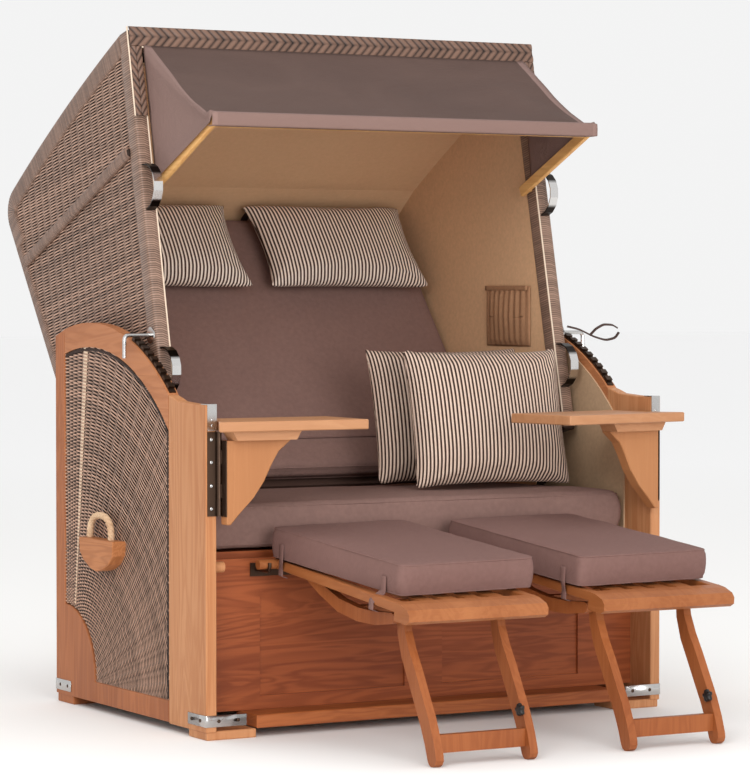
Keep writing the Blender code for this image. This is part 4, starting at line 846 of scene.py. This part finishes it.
def cushion(name, corners, thickness, place, finish, body, edge, crown=0.006, bulge=0.004, radius=0.03,
            seed=1):
    """A box cushion on an outline in its own (x, y) plane; place puts its underside where it lies. Its
    edges are rounded by edge, its top swells by crown and its sides by bulge. Seams run round both edges."""
    outline = outline_points(corners, radius, 0.007)
    centre = (outline.max(0) + outline.min(0)) / 2
    reach = (outline.max(0) - outline.min(0)) / 2
    tangent = np.roll(outline, -1, 0) - np.roll(outline, 1, 0)
    tangent /= np.linalg.norm(tangent, axis=1)[:, None]
    inward = np.column_stack((-tangent[:, 1], tangent[:, 0]))
    if ((centre - outline) * inward).sum() < 0:
        inward = -inward
    waves = soft_noise(np.column_stack((outline, np.zeros(len(outline)))), 14.0, seed)
    half, top = thickness / 2, thickness / 2 - crown

    def shrunk(inset):
        return centre + (outline - centre) * (reach - inset) / reach

    upper = []
    for angle in np.radians((0, 18, 36, 54, 72, 90)):
        upper.append((shrunk(bulge + edge * (1 - math.cos(angle))), top - edge + edge * math.sin(angle)))
    for inset in (0.010, 0.024, 0.042):
        upper.append((shrunk(bulge + edge + inset), top + crown * 0.6 * (1 - math.exp(-inset / 0.02))))
    last = upper[-1][0]
    for scale in (0.93, 0.85, 0.74, 0.60, 0.45, 0.30, 0.15):
        ring = centre + (last - centre) * scale
        dome = (1 - ((ring - centre) / reach) ** 2).prod(1)
        upper.append((ring, top + crown * (0.55 + 0.45 * dome)))
    loops = []
    for level in (-1, 1):
        part = []
        for order, (ring, height) in enumerate(upper):
            z = np.broadcast_to(height if level > 0 else np.minimum(height, top), len(ring)) * level
            pull = 0.0008 * waves * math.exp(-((order - 4) / 3) ** 2)
            part.append(np.column_stack((ring, z + pull * level)))
        loops.append(part)
    walls = []
    for share in (-0.8, -0.4, 0.0, 0.4, 0.8):
        swell = bulge * share * share + 0.0006 * waves
        ring = outline + inward * np.reshape(swell, (-1, 1))
        walls.append(np.column_stack((ring, np.full(len(outline), share * (top - edge)))))
    seams = {"top": loops[1][2], "bottom": loops[0][2]}
    loops = loops[0][::-1] + walls + loops[1]
    points = np.concatenate(loops)
    points[:, 2] += 0.0014 * soft_noise(points, 4.0, seed + 9) * (points[:, 2] > 0)
    m, total = len(outline), len(points)
    faces = net_faces(len(loops), m, closed=True).tolist()
    points = np.vstack((points, points[:m].mean(0), points[-m:].mean(0)))
    for j in range(m):
        after = (j + 1) % m
        faces += [(after, j, total), (total - m + j, total - m + after, total + 1)]
    matrix = np.array(place @ Matrix.Translation((0, 0, half)))
    obj = add_mesh(name + "_soft", set_down(points, matrix), faces, points[:, :2])
    face_outward(obj)
    obj.data.materials.append(finish)
    carried(body, "cushion_cloth", obj)
    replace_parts(obj, name)
    for label, ring in seams.items():
        path = set_down(ring, matrix)
        sweep("%s_seam_%s" % (name, label), np.vstack((path, path[:2])), circle(0.0017), matrix[:3, 2],
              finish, "cushion_cloth", caps=False, body=body)


seat_cloth = cloth("seat_cloth", (146, 115, 106), (108, 82, 76))
trim_cloth = cloth("trim_cloth", (136, 106, 99), (108, 82, 76), 900.0)
seat_top, seat_front, seat_step, seat_rear = 0.405, -0.2215, -0.1190, 0.2510
seat_wide, seat_narrow, seat_thickness = 0.556, 0.506, 0.113
cushion("seat_cushion", [(-seat_wide, seat_front), (seat_wide, seat_front), (seat_wide, seat_step),
                         (seat_narrow, seat_step), (seat_narrow, seat_rear), (-seat_narrow, seat_rear),
                         (-seat_narrow, seat_step), (-seat_wide, seat_step)],
        seat_thickness, Matrix.Translation((0, 0, seat_top)), seat_cloth, "base", edge=0.022, radius=0.022,
        seed=3)
back_half, back_low, back_high, back_thickness = 0.511, 0.001, 0.800, 0.070
along_back = Matrix.Rotation(math.radians(-38.83), 4, "X")
back_axes = Matrix.Translation((0, 0.28924, 0.558)) @ along_back
back_place = (back_axes @ Matrix.Rotation(math.radians(90), 4, "X")
              @ Matrix.Translation((0, 0, -back_thickness)))


def rectangle(half, low, high):
    return [(-half, low), (half, low), (half, high), (-half, high)]


cushion("back_cushion", rectangle(back_half, back_low, back_high), back_thickness, back_place, seat_cloth,
        "hood", edge=0.018, seed=5)
pad_cloth = cloth("pad_cloth", (134, 102, 95), (104, 76, 71))
rest_place = Matrix.Translation((0, -0.27676, 0.3795)) @ Matrix.Rotation(math.radians(5.5), 4, "X")
pad_half, pad_rear, pad_front, pad_thickness, rest_middle = 0.176, 0.026, -0.5020, 0.076, 0.241
pad_places = {}
for side, x, askew in (("left", -0.2120, 4.0), ("right", 0.2370, 3.0)):
    turned_place = Matrix.Rotation(math.radians(askew), 4, "Z") @ Matrix.Translation((0, -pad_front, 0))
    pad_places[side] = rest_place @ Matrix.Translation((x, pad_front, 0.0115)) @ turned_place
    cushion("foot_pad_" + side, rectangle(pad_half, pad_front, pad_rear), pad_thickness, pad_places[side],
            pad_cloth, "footrest_" + side, edge=0.007, crown=0.004, bulge=0.003, radius=0.020,
            seed=11 + int(x > 0))


def applied(obj):
    """The piece's mesh becomes what its modifiers make of it."""
    obj.data = bpy.data.meshes.new_from_object(obj.evaluated_get(bpy.context.evaluated_depsgraph_get()))
    obj.modifiers.clear()
    return obj.data


def settle(obj, cap, voxel=0.0062, steps=20):
    """Lets the cover swell under the stuffing's pressure and fold, no point moving further than cap."""
    remesh = obj.modifiers.new("remesh", "REMESH")
    remesh.mode, remesh.voxel_size = "VOXEL", voxel
    finish = obj.data.materials[0]
    even = applied(obj)
    start = np.zeros(len(even.vertices) * 3, np.float32)
    even.vertices.foreach_get("co", start)
    swelling = obj.modifiers.new("swelling", "CLOTH")
    fabric = swelling.settings
    fabric.quality, fabric.mass = 5, 0.3
    fabric.tension_stiffness = fabric.compression_stiffness = 12
    fabric.bending_stiffness = 0.3
    fabric.use_pressure, fabric.uniform_pressure_force = True, 4.0
    fabric.effector_weights.gravity = 0
    for step in range(1, steps + 1):
        scene.frame_set(step)
    settled = obj.evaluated_get(bpy.context.evaluated_depsgraph_get()).to_mesh()
    moved = np.zeros_like(start)
    settled.vertices.foreach_get("co", moved)
    obj.modifiers.clear()
    scene.frame_set(1)
    move = (moved - start).reshape(-1, 3)
    length = np.linalg.norm(move, axis=1)
    move *= np.minimum(1.0, cap / np.maximum(length, 1e-9))[:, None]
    even.vertices.foreach_set("co", (start.reshape(-1, 3) + move).ravel())
    even.update()
    finer = obj.modifiers.new("finer", "SUBSURF")
    finer.levels = finer.render_levels = 1
    smooth = applied(obj)
    smooth.shade_smooth()
    if not smooth.materials:
        smooth.materials.append(finish)


# Headrests and throw pillows are stuffed striped covers: full in the middle, thin at their sewn edges, the
# sides drawn in between pointed corners, with folds that run in from them. They hang or lie on cushions.
def pillow(name, width, height, thickness, place, finish, body, pull, seed, fill=0.7):
    """A stuffed pillow about its own middle, standing in its (x, z) plane."""
    count, squareness, swell = 56, 2.4, 0.46
    u, v = np.meshgrid(np.linspace(-1, 1, count), np.linspace(-1, 1, count), indexing="ij")
    x = u * width / 2 * (1 - pull * (1 - v ** 2) * np.abs(u) ** 3)
    z = v * height / 2 * (1 - pull * (1 - u ** 2) * np.abs(v) ** 3)
    full = (np.clip(1 - np.abs(u) ** squareness, 0, 1) * np.clip(1 - np.abs(v) ** squareness, 0, 1)) ** swell
    rng = np.random.default_rng(seed)
    folds = np.zeros_like(u)
    for cu, cv in ((-1, -1), (-1, 1), (1, -1), (1, 1)):
        away = np.hypot((u - cu) * width / 2, (v - cv) * height / 2)
        angle = np.arctan2((v - cv) * height, (u - cu) * width)
        fan_out = np.sin(angle * rng.integers(9, 13) + rng.uniform(0, 6))
        folds += fan_out * np.exp(-((away - 0.06) / 0.06) ** 2)
    edge = 1 - np.maximum(np.abs(u), np.abs(v))
    pucker = np.sin((u * width + v * height) * 150 + 3 * np.sin(u * 9) + 2 * np.sin(v * 7))
    relief = full ** 0.5 * (0.0022 * folds + 0.0009 * (pucker * np.exp(-edge / 0.10)))
    points = []
    for level in (-1, 1):
        flat = np.column_stack((x.ravel(), np.zeros(x.size), z.ravel()))
        broad = soft_noise(flat, 7.0, seed + 20 + level).reshape(u.shape)
        y = level * (thickness / 2 * full * (0.97 + 0.03 * broad) + relief)
        points.append(np.column_stack((x.ravel(), y.ravel(), z.ravel())))
    quads = net_faces(count, count)[:, [0, 3, 2, 1]]
    faces = quads.tolist() + (quads[:, ::-1] + count * count).tolist()
    matrix = np.array(place)
    obj = add_mesh(name + "_soft", set_down(np.vstack(points), matrix), faces)
    face_outward(obj, weld=0.0004)
    obj.data.materials.append(finish)
    settle(obj, 0.006)
    cover = np.zeros(len(obj.data.vertices) * 3, np.float32)
    obj.data.vertices.foreach_get("co", cover)
    cover = (cover.reshape(-1, 3) - matrix[:3, 3]) @ matrix[:3, :3]
    crown = thickness / 2 * np.clip(1 - np.abs(cover[:, 2] / height * 2) ** squareness, 0, 1) ** swell
    side = cover[:, 0] / width * 2
    across = cover[:, 0] + side * np.abs(side) * 0.6 * np.clip(crown - np.abs(cover[:, 1]), 0, None)
    obj.data.attributes.new("across", "FLOAT", "POINT").data.foreach_set("value", across.astype(np.float32))
    carried(body, "striped_cloth", obj)
    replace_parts(obj, name)


stripe_width, headrest_x = 0.0100, 0.256
headrest_size, throw_size = (0.474, 0.280, 0.096), (0.443, 0.342, 0.112)
throw_turn = Matrix.Rotation(math.radians(-12), 4, "X")
striped_cloth = cloth("striped_cloth", (236, 212, 194), (208, 178, 158), wear=0.2,
                      stripe=((40, 18, 11), stripe_width))
headrest_cloth = cloth("headrest_cloth", (255, 240, 226), (236, 214, 196), wear=0.2,
                       stripe=((56, 28, 18), stripe_width))
for sign, side in both_sides:
    place = Matrix.Translation((sign * headrest_x, 0.6592, 1.101)) @ along_back
    pillow("headrest_" + side, *headrest_size, place, headrest_cloth, "hood", 0.08, 31 + sign)
for name, place, seed in (("throw_pillow_front", (0.275, -0.0537, 0.6843), 41),
                          ("throw_pillow_rear", (0.278, 0.1313, 0.6843), 43)):
    pillow(name, *throw_size, Matrix.Translation(place) @ throw_turn, striped_cloth, "base", 0.05, seed)


# The awning is one sheet of cloth stretched from the front beam over the folding bar: it sags a little
# between its edges, turns down at ridge seams into a triangle on each side, and ends in a hem at the bar.
def thicken(obj, thickness, offset):
    """Gives a sheet its thickness, to one side of it."""
    thick = obj.modifiers.new("thickness", "SOLIDIFY")
    thick.thickness, thick.offset = thickness, offset


awning_top = [(0.1784, 1.5543), (0.1017, 1.5026), (0.0249, 1.4565), (-0.0519, 1.4150), (-0.1283, 1.3787),
              (-0.1560, 1.3868), (-0.1680, 1.3840), (-0.1692, 1.3720), (-0.1685, 1.3566), (-0.1430, 1.3556)]
awning_half, gusset_rows = 0.5115, 12
gusset_foot_rear, gusset_foot_front = np.array((0.1250, 1.2440)), np.array((-0.1500, 1.3615))
length_steps, width_steps = 64, 96
foot_row, slack_row, seam_row, hem_row = 28.0, 34, 36, 42
places = np.linspace(0, len(awning_top) - 1, length_steps)
awning_y, awning_z = (np.interp(places, np.arange(len(awning_top)), values) for values in zip(*awning_top))
grid = []
for k in range(length_steps):
    share = min(1.0, k / foot_row * 0.93)
    spread = 0.0065 * max(0.0, 1 - k / 24)
    slack = math.sin(math.pi * min(1.0, k / slack_row))
    foot = gusset_foot_rear * (1 - share) + gusset_foot_front * share
    if k > hem_row:
        foot = np.array((awning_y[k] + 0.002, awning_z[k]))
    ridge, strip = np.array((awning_y[k], awning_z[k])), []
    for step in range(gusset_rows):
        down = 1 - step / gusset_rows
        y, z = ridge * (1 - down) + foot * down
        billow = 0.010 * math.sin(math.pi * down) * slack
        strip.append((-awning_half - spread * (1 - down) + billow, y, z))
    for step in range(width_steps + 1):
        across = -1 + 2 * step / width_steps
        sag = 0.004 * (1 - across ** 4) * math.sin(math.pi * min(1.0, k / (slack_row - 1)))
        seam = 0.0026 * math.exp(-((1 - abs(across)) / 0.012) ** 2) * (k < seam_row)
        corner = math.exp(-((1 - abs(across)) / 0.28) ** 2)
        ripple = 0.0011 * math.sin(across * 23 + 5 * math.sin(across * 4) + k * 0.12)
        ripple += 0.0030 * corner * math.sin((1 - abs(across)) * 19 + k * 0.23)
        ripple += 0.0014 * math.sin(across * 7.0 + k * 0.30)
        height = awning_z[k] - sag + seam + ripple * slack
        strip.append((across * (awning_half + spread), awning_y[k], height))
    strip += [(-x, y, z) for x, y, z in strip[:gusset_rows][::-1]]
    grid.append(strip)
grid = np.array(grid)
rows, columns = grid.shape[:2]
uv_across = np.array([run_length(strip) for strip in grid])
uv_across -= uv_across[:, columns // 2][:, None]
uv = np.stack((uv_across, np.broadcast_to(np.linspace(0, 0.45, rows)[:, None], uv_across.shape)), -1)
awning = add_mesh("awning_sheet", grid.reshape(-1, 3), net_faces(rows, columns).tolist(), uv.reshape(-1, 2))
finish = Finish("awning_sheet", 0.8)
cut = finish.uv().part(0)
across = cut.absolute()
hem = finish.place().part(1) * -1.0
weft = finish.wave("X", finish.place(), 520.0, 0.8)
broad = finish.noise(finish.place((1, 2.2, 1)), 3.2, 4.0, 0.6, 0.6)
crease = finish.noise(finish.place((3.0, 7.0, 5.0)), 3.0, 4.0, 0.62, 1.6)
share = finish.ramp(broad * 0.7 + weft * 0.25, 0.15, 0.95)
tone = finish.mix(share, colour((76, 58, 52)), colour((98, 78, 71)))
# Painted highlight: from the ridge seams down, the side triangles are lighter, as they face the key light.
seam = finish.ramp(across, awning_half - 0.0125, awning_half - 0.0105)
tone = finish.mix(seam * 0.8, tone, colour((136, 110, 103)))
tone = finish.mix(finish.ramp(hem, 0.150, 0.156) * 0.7, tone, colour((142, 114, 106)))
awning.data.materials.append(finish.done(tone, broad * 0.12 + 0.74, crease + weft * 0.04, 0.006, 0.55))
thicken(awning, 0.0012, -1.0)
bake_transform(awning)
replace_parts(awning, "awning_cloth")
dress("awning_frame", hardwood("bar_wood", (226, 176, 112), (196, 138, 82), 1, (0.4, 1.4, 0.3)))


# A laid rope with three strands makes the carrying handle on each side. It bends up out of one hole in
# its block and down into the other.
rope_finish = Finish("rope", 0.8)
fibre = rope_finish.noise(rope_finish.place(), 420.0, 3.0, 0.6)
patch = rope_finish.noise(rope_finish.place(), 26.0, 2.0)
share = rope_finish.ramp(fibre * 0.6 + patch * 0.5, 0.3, 0.85)
tone = rope_finish.mix(share, colour((176, 132, 96)), colour((238, 210, 176)))
hemp = rope_finish.done(tone, None, fibre, 0.0008, 0.6)
rope_radius, rope_plane, rope_foot, rope_rise = 0.0086, 0.6123, 0.4080, 0.0560
front_hole, rear_hole = 0.1577, 0.2747
middle, half_span = (front_hole + rear_hole) / 2, (rear_hole - front_hole) / 2
for sign, side in both_sides:
    route = []
    for angle in np.linspace(math.pi, 0, 90):
        y = middle + half_span * math.copysign(abs(math.cos(angle)) ** 0.82, math.cos(angle))
        route.append((sign * rope_plane, y, rope_foot + rope_rise * math.sin(angle) ** 0.72))
    rope = sweep("rope_" + side, route, laid(rope_radius, 0.26, 24), (1, 0, 0), hemp, "rope", twist=26,
                 body="base")
    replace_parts(rope, "carry_rope_" + side)


# Trays, brackets and footrests are solid planed wood, oiled, each board with its own grain. The trays
# and their brackets are paler than the footrests and the legs that fold out of them.
tray_wood = hardwood("tray_wood", (190, 140, 102), (168, 116, 80), 0, (0.2, 1.1, 0.5), 0.6, 0.4)
bracket_wood = hardwood("bracket_wood", (182, 126, 84), (162, 106, 66), 2, (1.2, 0.1, 0.9), 0.4, 0.42)
rest_wood = hardwood("rest_wood", (170, 108, 66), (134, 76, 40), 1, (0.6, 0.9, 0.1), 0.5, 0.4)
leg_wood = hardwood("leg_wood", (166, 99, 57), (128, 68, 34), 2, (0.1, 0.6, 1.4), 0.5, 0.4)
for side in ("left", "right"):
    dress("tray_" + side, tray_wood)
    dress("tray_bracket_" + side, bracket_wood)
    dress("footrest_frame_" + side, rest_wood)
    dress("front_legs_" + side, leg_wood)
    dress("rear_legs_" + side, leg_wood)


# The fittings are polished steel, a little smeared by hands, and dark bronzed steel for the hinges,
# toothed rails and hooks.
def metal(name, tone, roughness, smear, scale=40.0):
    f = Finish(name, roughness, 1.0)
    cloud = f.noise(f.place(), scale, 4.0, 0.6)
    scratch = f.noise(f.place((300, 14, 300)), 1.0, 2.0, 0.5)
    base = f.mix(cloud * 0.5, colour(tone), colour(tone, 0.7))
    return f.done(base, cloud * smear + roughness, scratch, 0.0001, 0.15)


polished = metal("polished_steel", (200, 198, 196), 0.12, 0.20)
bronzed = metal("dark_steel", (82, 66, 56), 0.30, 0.25)


def bow_metal(name, middle):
    """Bright at half height and dark towards both ends of the bow: a painted highlight and painted
    reflection on the polished steel.
    """
    f = Finish(name, 0.16, 1.0)
    away = (f.place().part(2) - middle).absolute()
    cloud = f.noise(f.place(), 60.0, 4.0, 0.6)
    # Painted reflection: bright at half height, dark towards the ends.
    dark = f.ramp(away, 0.026, 0.034)
    base = f.mix(dark, colour((214, 212, 210)), colour((46, 40, 37)))
    return f.done(base, cloud * 0.15 + dark * 0.15 + 0.12, cloud, 0.0001, 0.2)


upper_bow, lower_bow = bow_metal("upper_bow", 1.2256), bow_metal("lower_bow", 0.8055)
for side in ("left", "right"):
    dress("upper_handle_" + side, upper_bow)
    dress("lower_handle_" + side, lower_bow)
    for name in ("lever_", "post_cap_", "pivot_bolt_"):
        dress(name + side, polished)
    for name in ("post_hinge_", "tray_hinge_", "toothed_rail_", "footrest_hook_"):
        dress(name + side, bronzed)


# Steel screws hold the post hinges and the post caps: low heads with a dip in the middle. One head is
# turned, and a node tree sets it on each of its spots.
def lathe(rings, count, lobes=0.0):
    """A turned shape, its axis along z, from rings of (radius, height); lobes make it a star of five."""
    shape = bmesh.new()
    loops = []
    for radius, height in rings:
        loops.append([])
        for angle in np.linspace(0, 2 * math.pi, count, endpoint=False):
            reach = radius * (1 + lobes * math.cos(5 * angle))
            loops[-1].append(shape.verts.new((reach * math.cos(angle), reach * math.sin(angle), height)))
    for low, high in zip(loops, loops[1:]):
        for k in range(count):
            shape.faces.new((low[k], low[(k + 1) % count], high[(k + 1) % count], high[k]))
    shape.faces.new(loops[0][::-1])
    return shape, loops[-1]


def finished(name, shape, finish):
    """An object from a bmesh shape, smooth and in one finish."""
    mesh = bpy.data.meshes.new(name)
    shape.to_mesh(mesh)
    shape.free()
    mesh.shade_smooth()
    mesh.materials.append(finish)
    return bpy.data.objects.new(name, mesh)


def screw_tree():
    """A node tree that sets a head on each point of a mesh, all turned one way, in their finish."""
    tree = bpy.data.node_groups.new("screw_heads", "GeometryNodeTree")
    for name, way, kind in (("Spots", "INPUT", "Geometry"), ("Head", "INPUT", "Object"),
                            ("Radius", "INPUT", "Float"), ("Turn", "INPUT", "Rotation"),
                            ("Finish", "INPUT", "Material"), ("Heads", "OUTPUT", "Geometry")):
        tree.interface.new_socket(name, in_out=way, socket_type="NodeSocket" + kind)
    given, head, placed, plain, dressed, out = (tree.nodes.new(kind) for kind in (
        "NodeGroupInput", "GeometryNodeObjectInfo", "GeometryNodeInstanceOnPoints",
        "GeometryNodeRealizeInstances", "GeometryNodeSetMaterial", "NodeGroupOutput"))
    for start, end in ((given.outputs["Head"], head.inputs["Object"]),
                       (given.outputs["Spots"], placed.inputs["Points"]),
                       (head.outputs["Geometry"], placed.inputs["Instance"]),
                       (given.outputs["Turn"], placed.inputs["Rotation"]),
                       (given.outputs["Radius"], placed.inputs["Scale"]),
                       (placed.outputs["Instances"], plain.inputs["Geometry"]),
                       (plain.outputs["Geometry"], dressed.inputs["Geometry"]),
                       (given.outputs["Finish"], dressed.inputs["Material"]),
                       (dressed.outputs["Geometry"], out.inputs["Heads"])):
        tree.links.new(start, end)
    return tree


def screws(name, spots, facing, radius, finish, slot):
    """Heads at several spots, all facing one way, as one piece."""
    shape, rim = lathe(((1.0, 0.0), (0.96, 0.16), (0.75, 0.30), (0.42, 0.38)), 16)
    dip = shape.verts.new((0, 0, 0.12))
    for k in range(16):
        shape.faces.new((rim[k], rim[(k + 1) % 16], dip))
    head = finished("screw_head", shape, finish)
    obj = add_mesh(name, spots, [])
    heads = obj.modifiers.new("heads", "NODES")
    heads.node_group = screw_heads
    values = {"Head": head, "Radius": radius, "Finish": finish,
              "Turn": Vector(facing).to_track_quat("Z", "Y").to_euler()}
    for item in screw_heads.interface.items_tree:
        if item.name in values:
            heads[item.identifier] = values[item.name]
    mesh = applied(obj)
    mesh.materials.clear()
    mesh.materials.append(finish)
    mesh.polygons.foreach_set("material_index", np.zeros(len(mesh.polygons), np.int32))
    bpy.data.objects.remove(head)
    carried("base", slot, obj)


screw_heads = screw_tree()
screw_radius, hinge_x, hinge_face, cap_x = 0.0042, 0.5873, -0.3112, 0.5855
hinge_low, hinge_high = 0.493, 0.678
hinge_rows = [hinge_low + (hinge_high - hinge_low) * share for share in (0.09, 0.36, 0.64, 0.91)]
for sign, side in both_sides:
    screws("post_hinge_screws_" + side, [(sign * hinge_x, hinge_face, z) for z in hinge_rows], (0, -1, 0),
           screw_radius, polished, "polished_steel")
    cap_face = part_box("post_cap_" + side)[0][1] - 0.0002
    screws("post_cap_screws_" + side, [(sign * cap_x, cap_face, z) for z in (0.692, 0.704)], (0, -1, 0),
           0.0030, polished, "polished_steel")


# Polished straps bind the corners of the base just above its feet: thin flat bars bent to an L, each
# held by four dark screws, two on either side of the corner.
def strap_path(corner, run_y, run_x, offset):
    """An L round a corner of the base, with a small bend; the runs point away from the corner."""
    x, y = corner
    out_x, out_y = math.copysign(offset, x), math.copysign(offset, y)
    points = [(x + out_x, y + run_y, 0)]
    bend = 0.003
    for angle in np.linspace(0, math.pi / 2, 6):
        points.append((x + out_x - math.copysign(bend, x) * (1 - math.cos(angle)),
                       y + out_y - math.copysign(bend, y) * (1 - math.sin(angle)), 0))
    points.append((x + run_x, y + out_y, 0))
    return np.array(points)


strap_height, strap_z, strap_gauge, strap_face = 0.026, 0.0425, 0.0016, 0.0019
side_run, end_run = 0.088, 0.098
base_front, base_rear, base_half = -0.30876, 0.50224, 0.600
for sign, side in both_sides:
    for end, edge_y, toward in (("front", base_front, 1), ("rear", base_rear, -1)):
        path = strap_path((sign * base_half, edge_y), toward * side_run, -sign * end_run, 0.0011)
        path[:, 2] = strap_z
        section = rounded(strap_gauge / 2, strap_height / 2, 0.0006, 1)
        sweep("corner_strap_%s_%s" % (end, side), path, section, (0, 0, 1), polished, "polished_steel",
              body="base")
        beside = [(sign * (base_half + strap_face), edge_y + toward * d, strap_z) for d in (0.028, 0.070)]
        ahead_of = [(sign * (base_half - d), edge_y - toward * strap_face, strap_z) for d in (0.030, 0.078)]
        for label, spots, facing in (("corner_screws_side_", beside, (sign, 0, 0)),
                                     ("corner_screws_", ahead_of, (0, -toward, 0))):
            screws(label + end + "_" + side, spots, facing, screw_radius, bronzed, "dark_steel")


# Small soft parts: a gathered pocket on the right wall, loops that hold the headrests, a seam across the
# backrest, straps that keep the pads on the footrests, and a cloth tie for folding the chair away.
def through(bends, count):
    """Evenly numbered points along the straight runs between bends."""
    bends = np.array([tuple(p) for p in bends])
    fine = np.linspace(0, len(bends) - 1, count)
    return np.column_stack([np.interp(fine, np.arange(len(bends)), bends[:, k]) for k in range(3)])


pocket_cloth = cloth("pocket_cloth", (176, 132, 100), (140, 102, 74), 420.0)
pocket_rear, pocket_front, pocket_low, pocket_high, wall = 0.345, 0.140, 0.850, 1.000, 0.5205
pocket_wide, pocket_tall = 90, 40
u, v = np.meshgrid(np.linspace(0, 1, pocket_wide), np.linspace(0, 1, pocket_tall), indexing="ij")
arch = np.sin(math.pi * u)
belly = arch ** 0.5 * (0.005 + 0.009 * np.sin(math.pi * np.clip(v * 0.8 + 0.08, 0, 1)) ** 1.2)
gather = 0.0032 * np.sin(u * 2 * math.pi * 8.5 + 1.2 * np.sin(3 * v)) * (0.25 + 0.75 * v) * arch ** 0.4
belly = np.where(v > 0.93, 0.008 * arch ** 0.5 + gather * 0.5,
                 belly * np.clip(v / 0.10, 0, 1) ** 0.6 + gather)
shape = np.stack((wall - 0.0012 - np.abs(belly), pocket_front + (pocket_rear - pocket_front) * u,
                  pocket_low + (pocket_high - pocket_low) * v - 0.012 * arch * (v > 0.5)), -1)
faces = net_faces(pocket_wide, pocket_tall)[:, [1, 2, 3, 0]]
pocket = add_mesh("pocket", shape.reshape(-1, 3), faces.tolist(), np.stack((u, v), -1).reshape(-1, 2))
pocket.data.materials.append(pocket_cloth)
thicken(pocket, 0.0010, 1.0)
carried("hood", "lining_cloth", pocket)
ends = [(wall - 0.009, y, pocket_high - 0.006) for y in (pocket_front + 0.004, pocket_rear - 0.004)]
sweep("pocket_band", line(*ends, 0.01), rounded(0.0012, 0.0060, 0.001, 1), (0, 0, 1), pocket_cloth,
      "lining_cloth")

strap_cloth = cloth("strap_cloth", (92, 72, 66), (60, 46, 41), 900.0)
sweep("back_seam", [back_axes @ Vector((x, -0.0015, 0.088)) for x in np.linspace(-0.500, 0.500, 60)],
      circle(0.0022), (0, 0, 1), trim_cloth, "cushion_cloth")
loop_bends = ((-0.030, 0.792), (-0.012, 0.801), (0.002, 0.8075), (0.020, 0.8100), (0.040, 0.8090),
              (0.058, 0.8060))
ribbon_half, ribbon_corner, loop_facing = 0.0009, 0.0006, along_back.to_3x3() @ Vector((0, -0.6, 1))
for sign, side in both_sides:
    for label, inset in (("inner", -0.185), ("outer", 0.185)):
        x = sign * headrest_x + inset
        sweep("headrest_loop_%s_%s" % (label, side),
              [back_axes @ Vector((x, depth, height)) for depth, height in loop_bends],
              rounded(0.010, ribbon_half, ribbon_corner, 1), loop_facing, strap_cloth, "cushion_cloth")
    for label, along in (("rear", -0.030), ("front", -0.440)):
        for face in (-1, 1):
            bends = [pad_places[side] @ Vector((face * (pad_half + 0.0012), along, height))
                     for height in (0.040, 0.006)]
            bends += [rest_place @ Vector((sign * rest_middle + face * aside, along, height))
                      for aside, height in ((0.1728, -0.004), (0.1728, -0.022), (0.160, -0.026))]
            edge = "inner" if face * sign < 0 else "outer"
            section = rounded(0.0095, ribbon_half, ribbon_corner, 1)
            sweep("pad_strap_%s_%s_%s" % (label, edge, side), through(bends, 25), section, (face, 0, 0.05),
                  pad_cloth, "cushion_cloth", body="footrest_" + side)
for name, route in (("lower", [(0.5560, 0.030, 0.900), (0.580, 0.012, 0.893), (0.606, -0.008, 0.876),
                               (0.632, -0.026, 0.866), (0.652, -0.038, 0.872), (0.660, -0.042, 0.886)]),
                    ("upper", [(0.600, -0.004, 0.878), (0.612, -0.012, 0.894), (0.628, -0.022, 0.905),
                               (0.646, -0.034, 0.904), (0.658, -0.040, 0.896)])):
    curve = through(route, 40)
    for _ in range(6):
        curve[1:-1] = (curve[:-2] + 2 * curve[1:-1] + curve[2:]) / 4
    sweep("tie_" + name, curve, rounded(0.0010, 0.0058, 0.0008, 1), (0.25, 0.9, 0.35),
                       strap_cloth, "cushion_cloth")


# A black star knob of hard plastic clamps each front leg frame, on the inner face of its right leg.
# It has five lobes, and its rim is rounded off towards the outside.
knob_plastic = Finish("knob_plastic", 0.35)
grain = knob_plastic.noise(knob_plastic.place(), 500.0, 2.0)
tone = knob_plastic.mix(grain, colour((22, 20, 20)), colour((44, 40, 38)))
knob_finish = knob_plastic.done(tone, None, grain, 0.0002, 0.3)
knob_reach, knob_depth, knob_z = 0.0125, 0.012, 0.104
for sign, side in both_sides:
    leg = np.array([tuple(v.co) for v in nodes["front_legs_" + side].data.vertices])
    right_leg = leg[leg[:, 0] > sign * rest_middle + 0.09]
    near = right_leg[np.argsort(np.abs(right_leg[:, 2] - knob_z))[:8]]
    spot = Vector((float(near[:, 0].min()) - 0.0004, float(near[:, 1].mean()), knob_z))
    shape, rim = lathe([(knob_reach * reach, depth * knob_depth) for reach, depth in
                        ((0.62, 0.0), (0.98, 0.15), (1.0, 0.55), (0.86, 0.9), (0.45, 1.0))], 60, 0.16)
    shape.faces.new(rim)
    for point in shape.verts:
        x, y, z = point.co
        point.co = (-z, x, y)
    bmesh.ops.translate(shape, vec=spot, verts=shape.verts)
    bmesh.ops.recalc_face_normals(shape, faces=shape.faces)
    knob = finished("star_knob_" + side, shape, knob_finish)
    scene.collection.objects.link(knob)
    carried("front_legs_" + side, "dark_steel", knob)
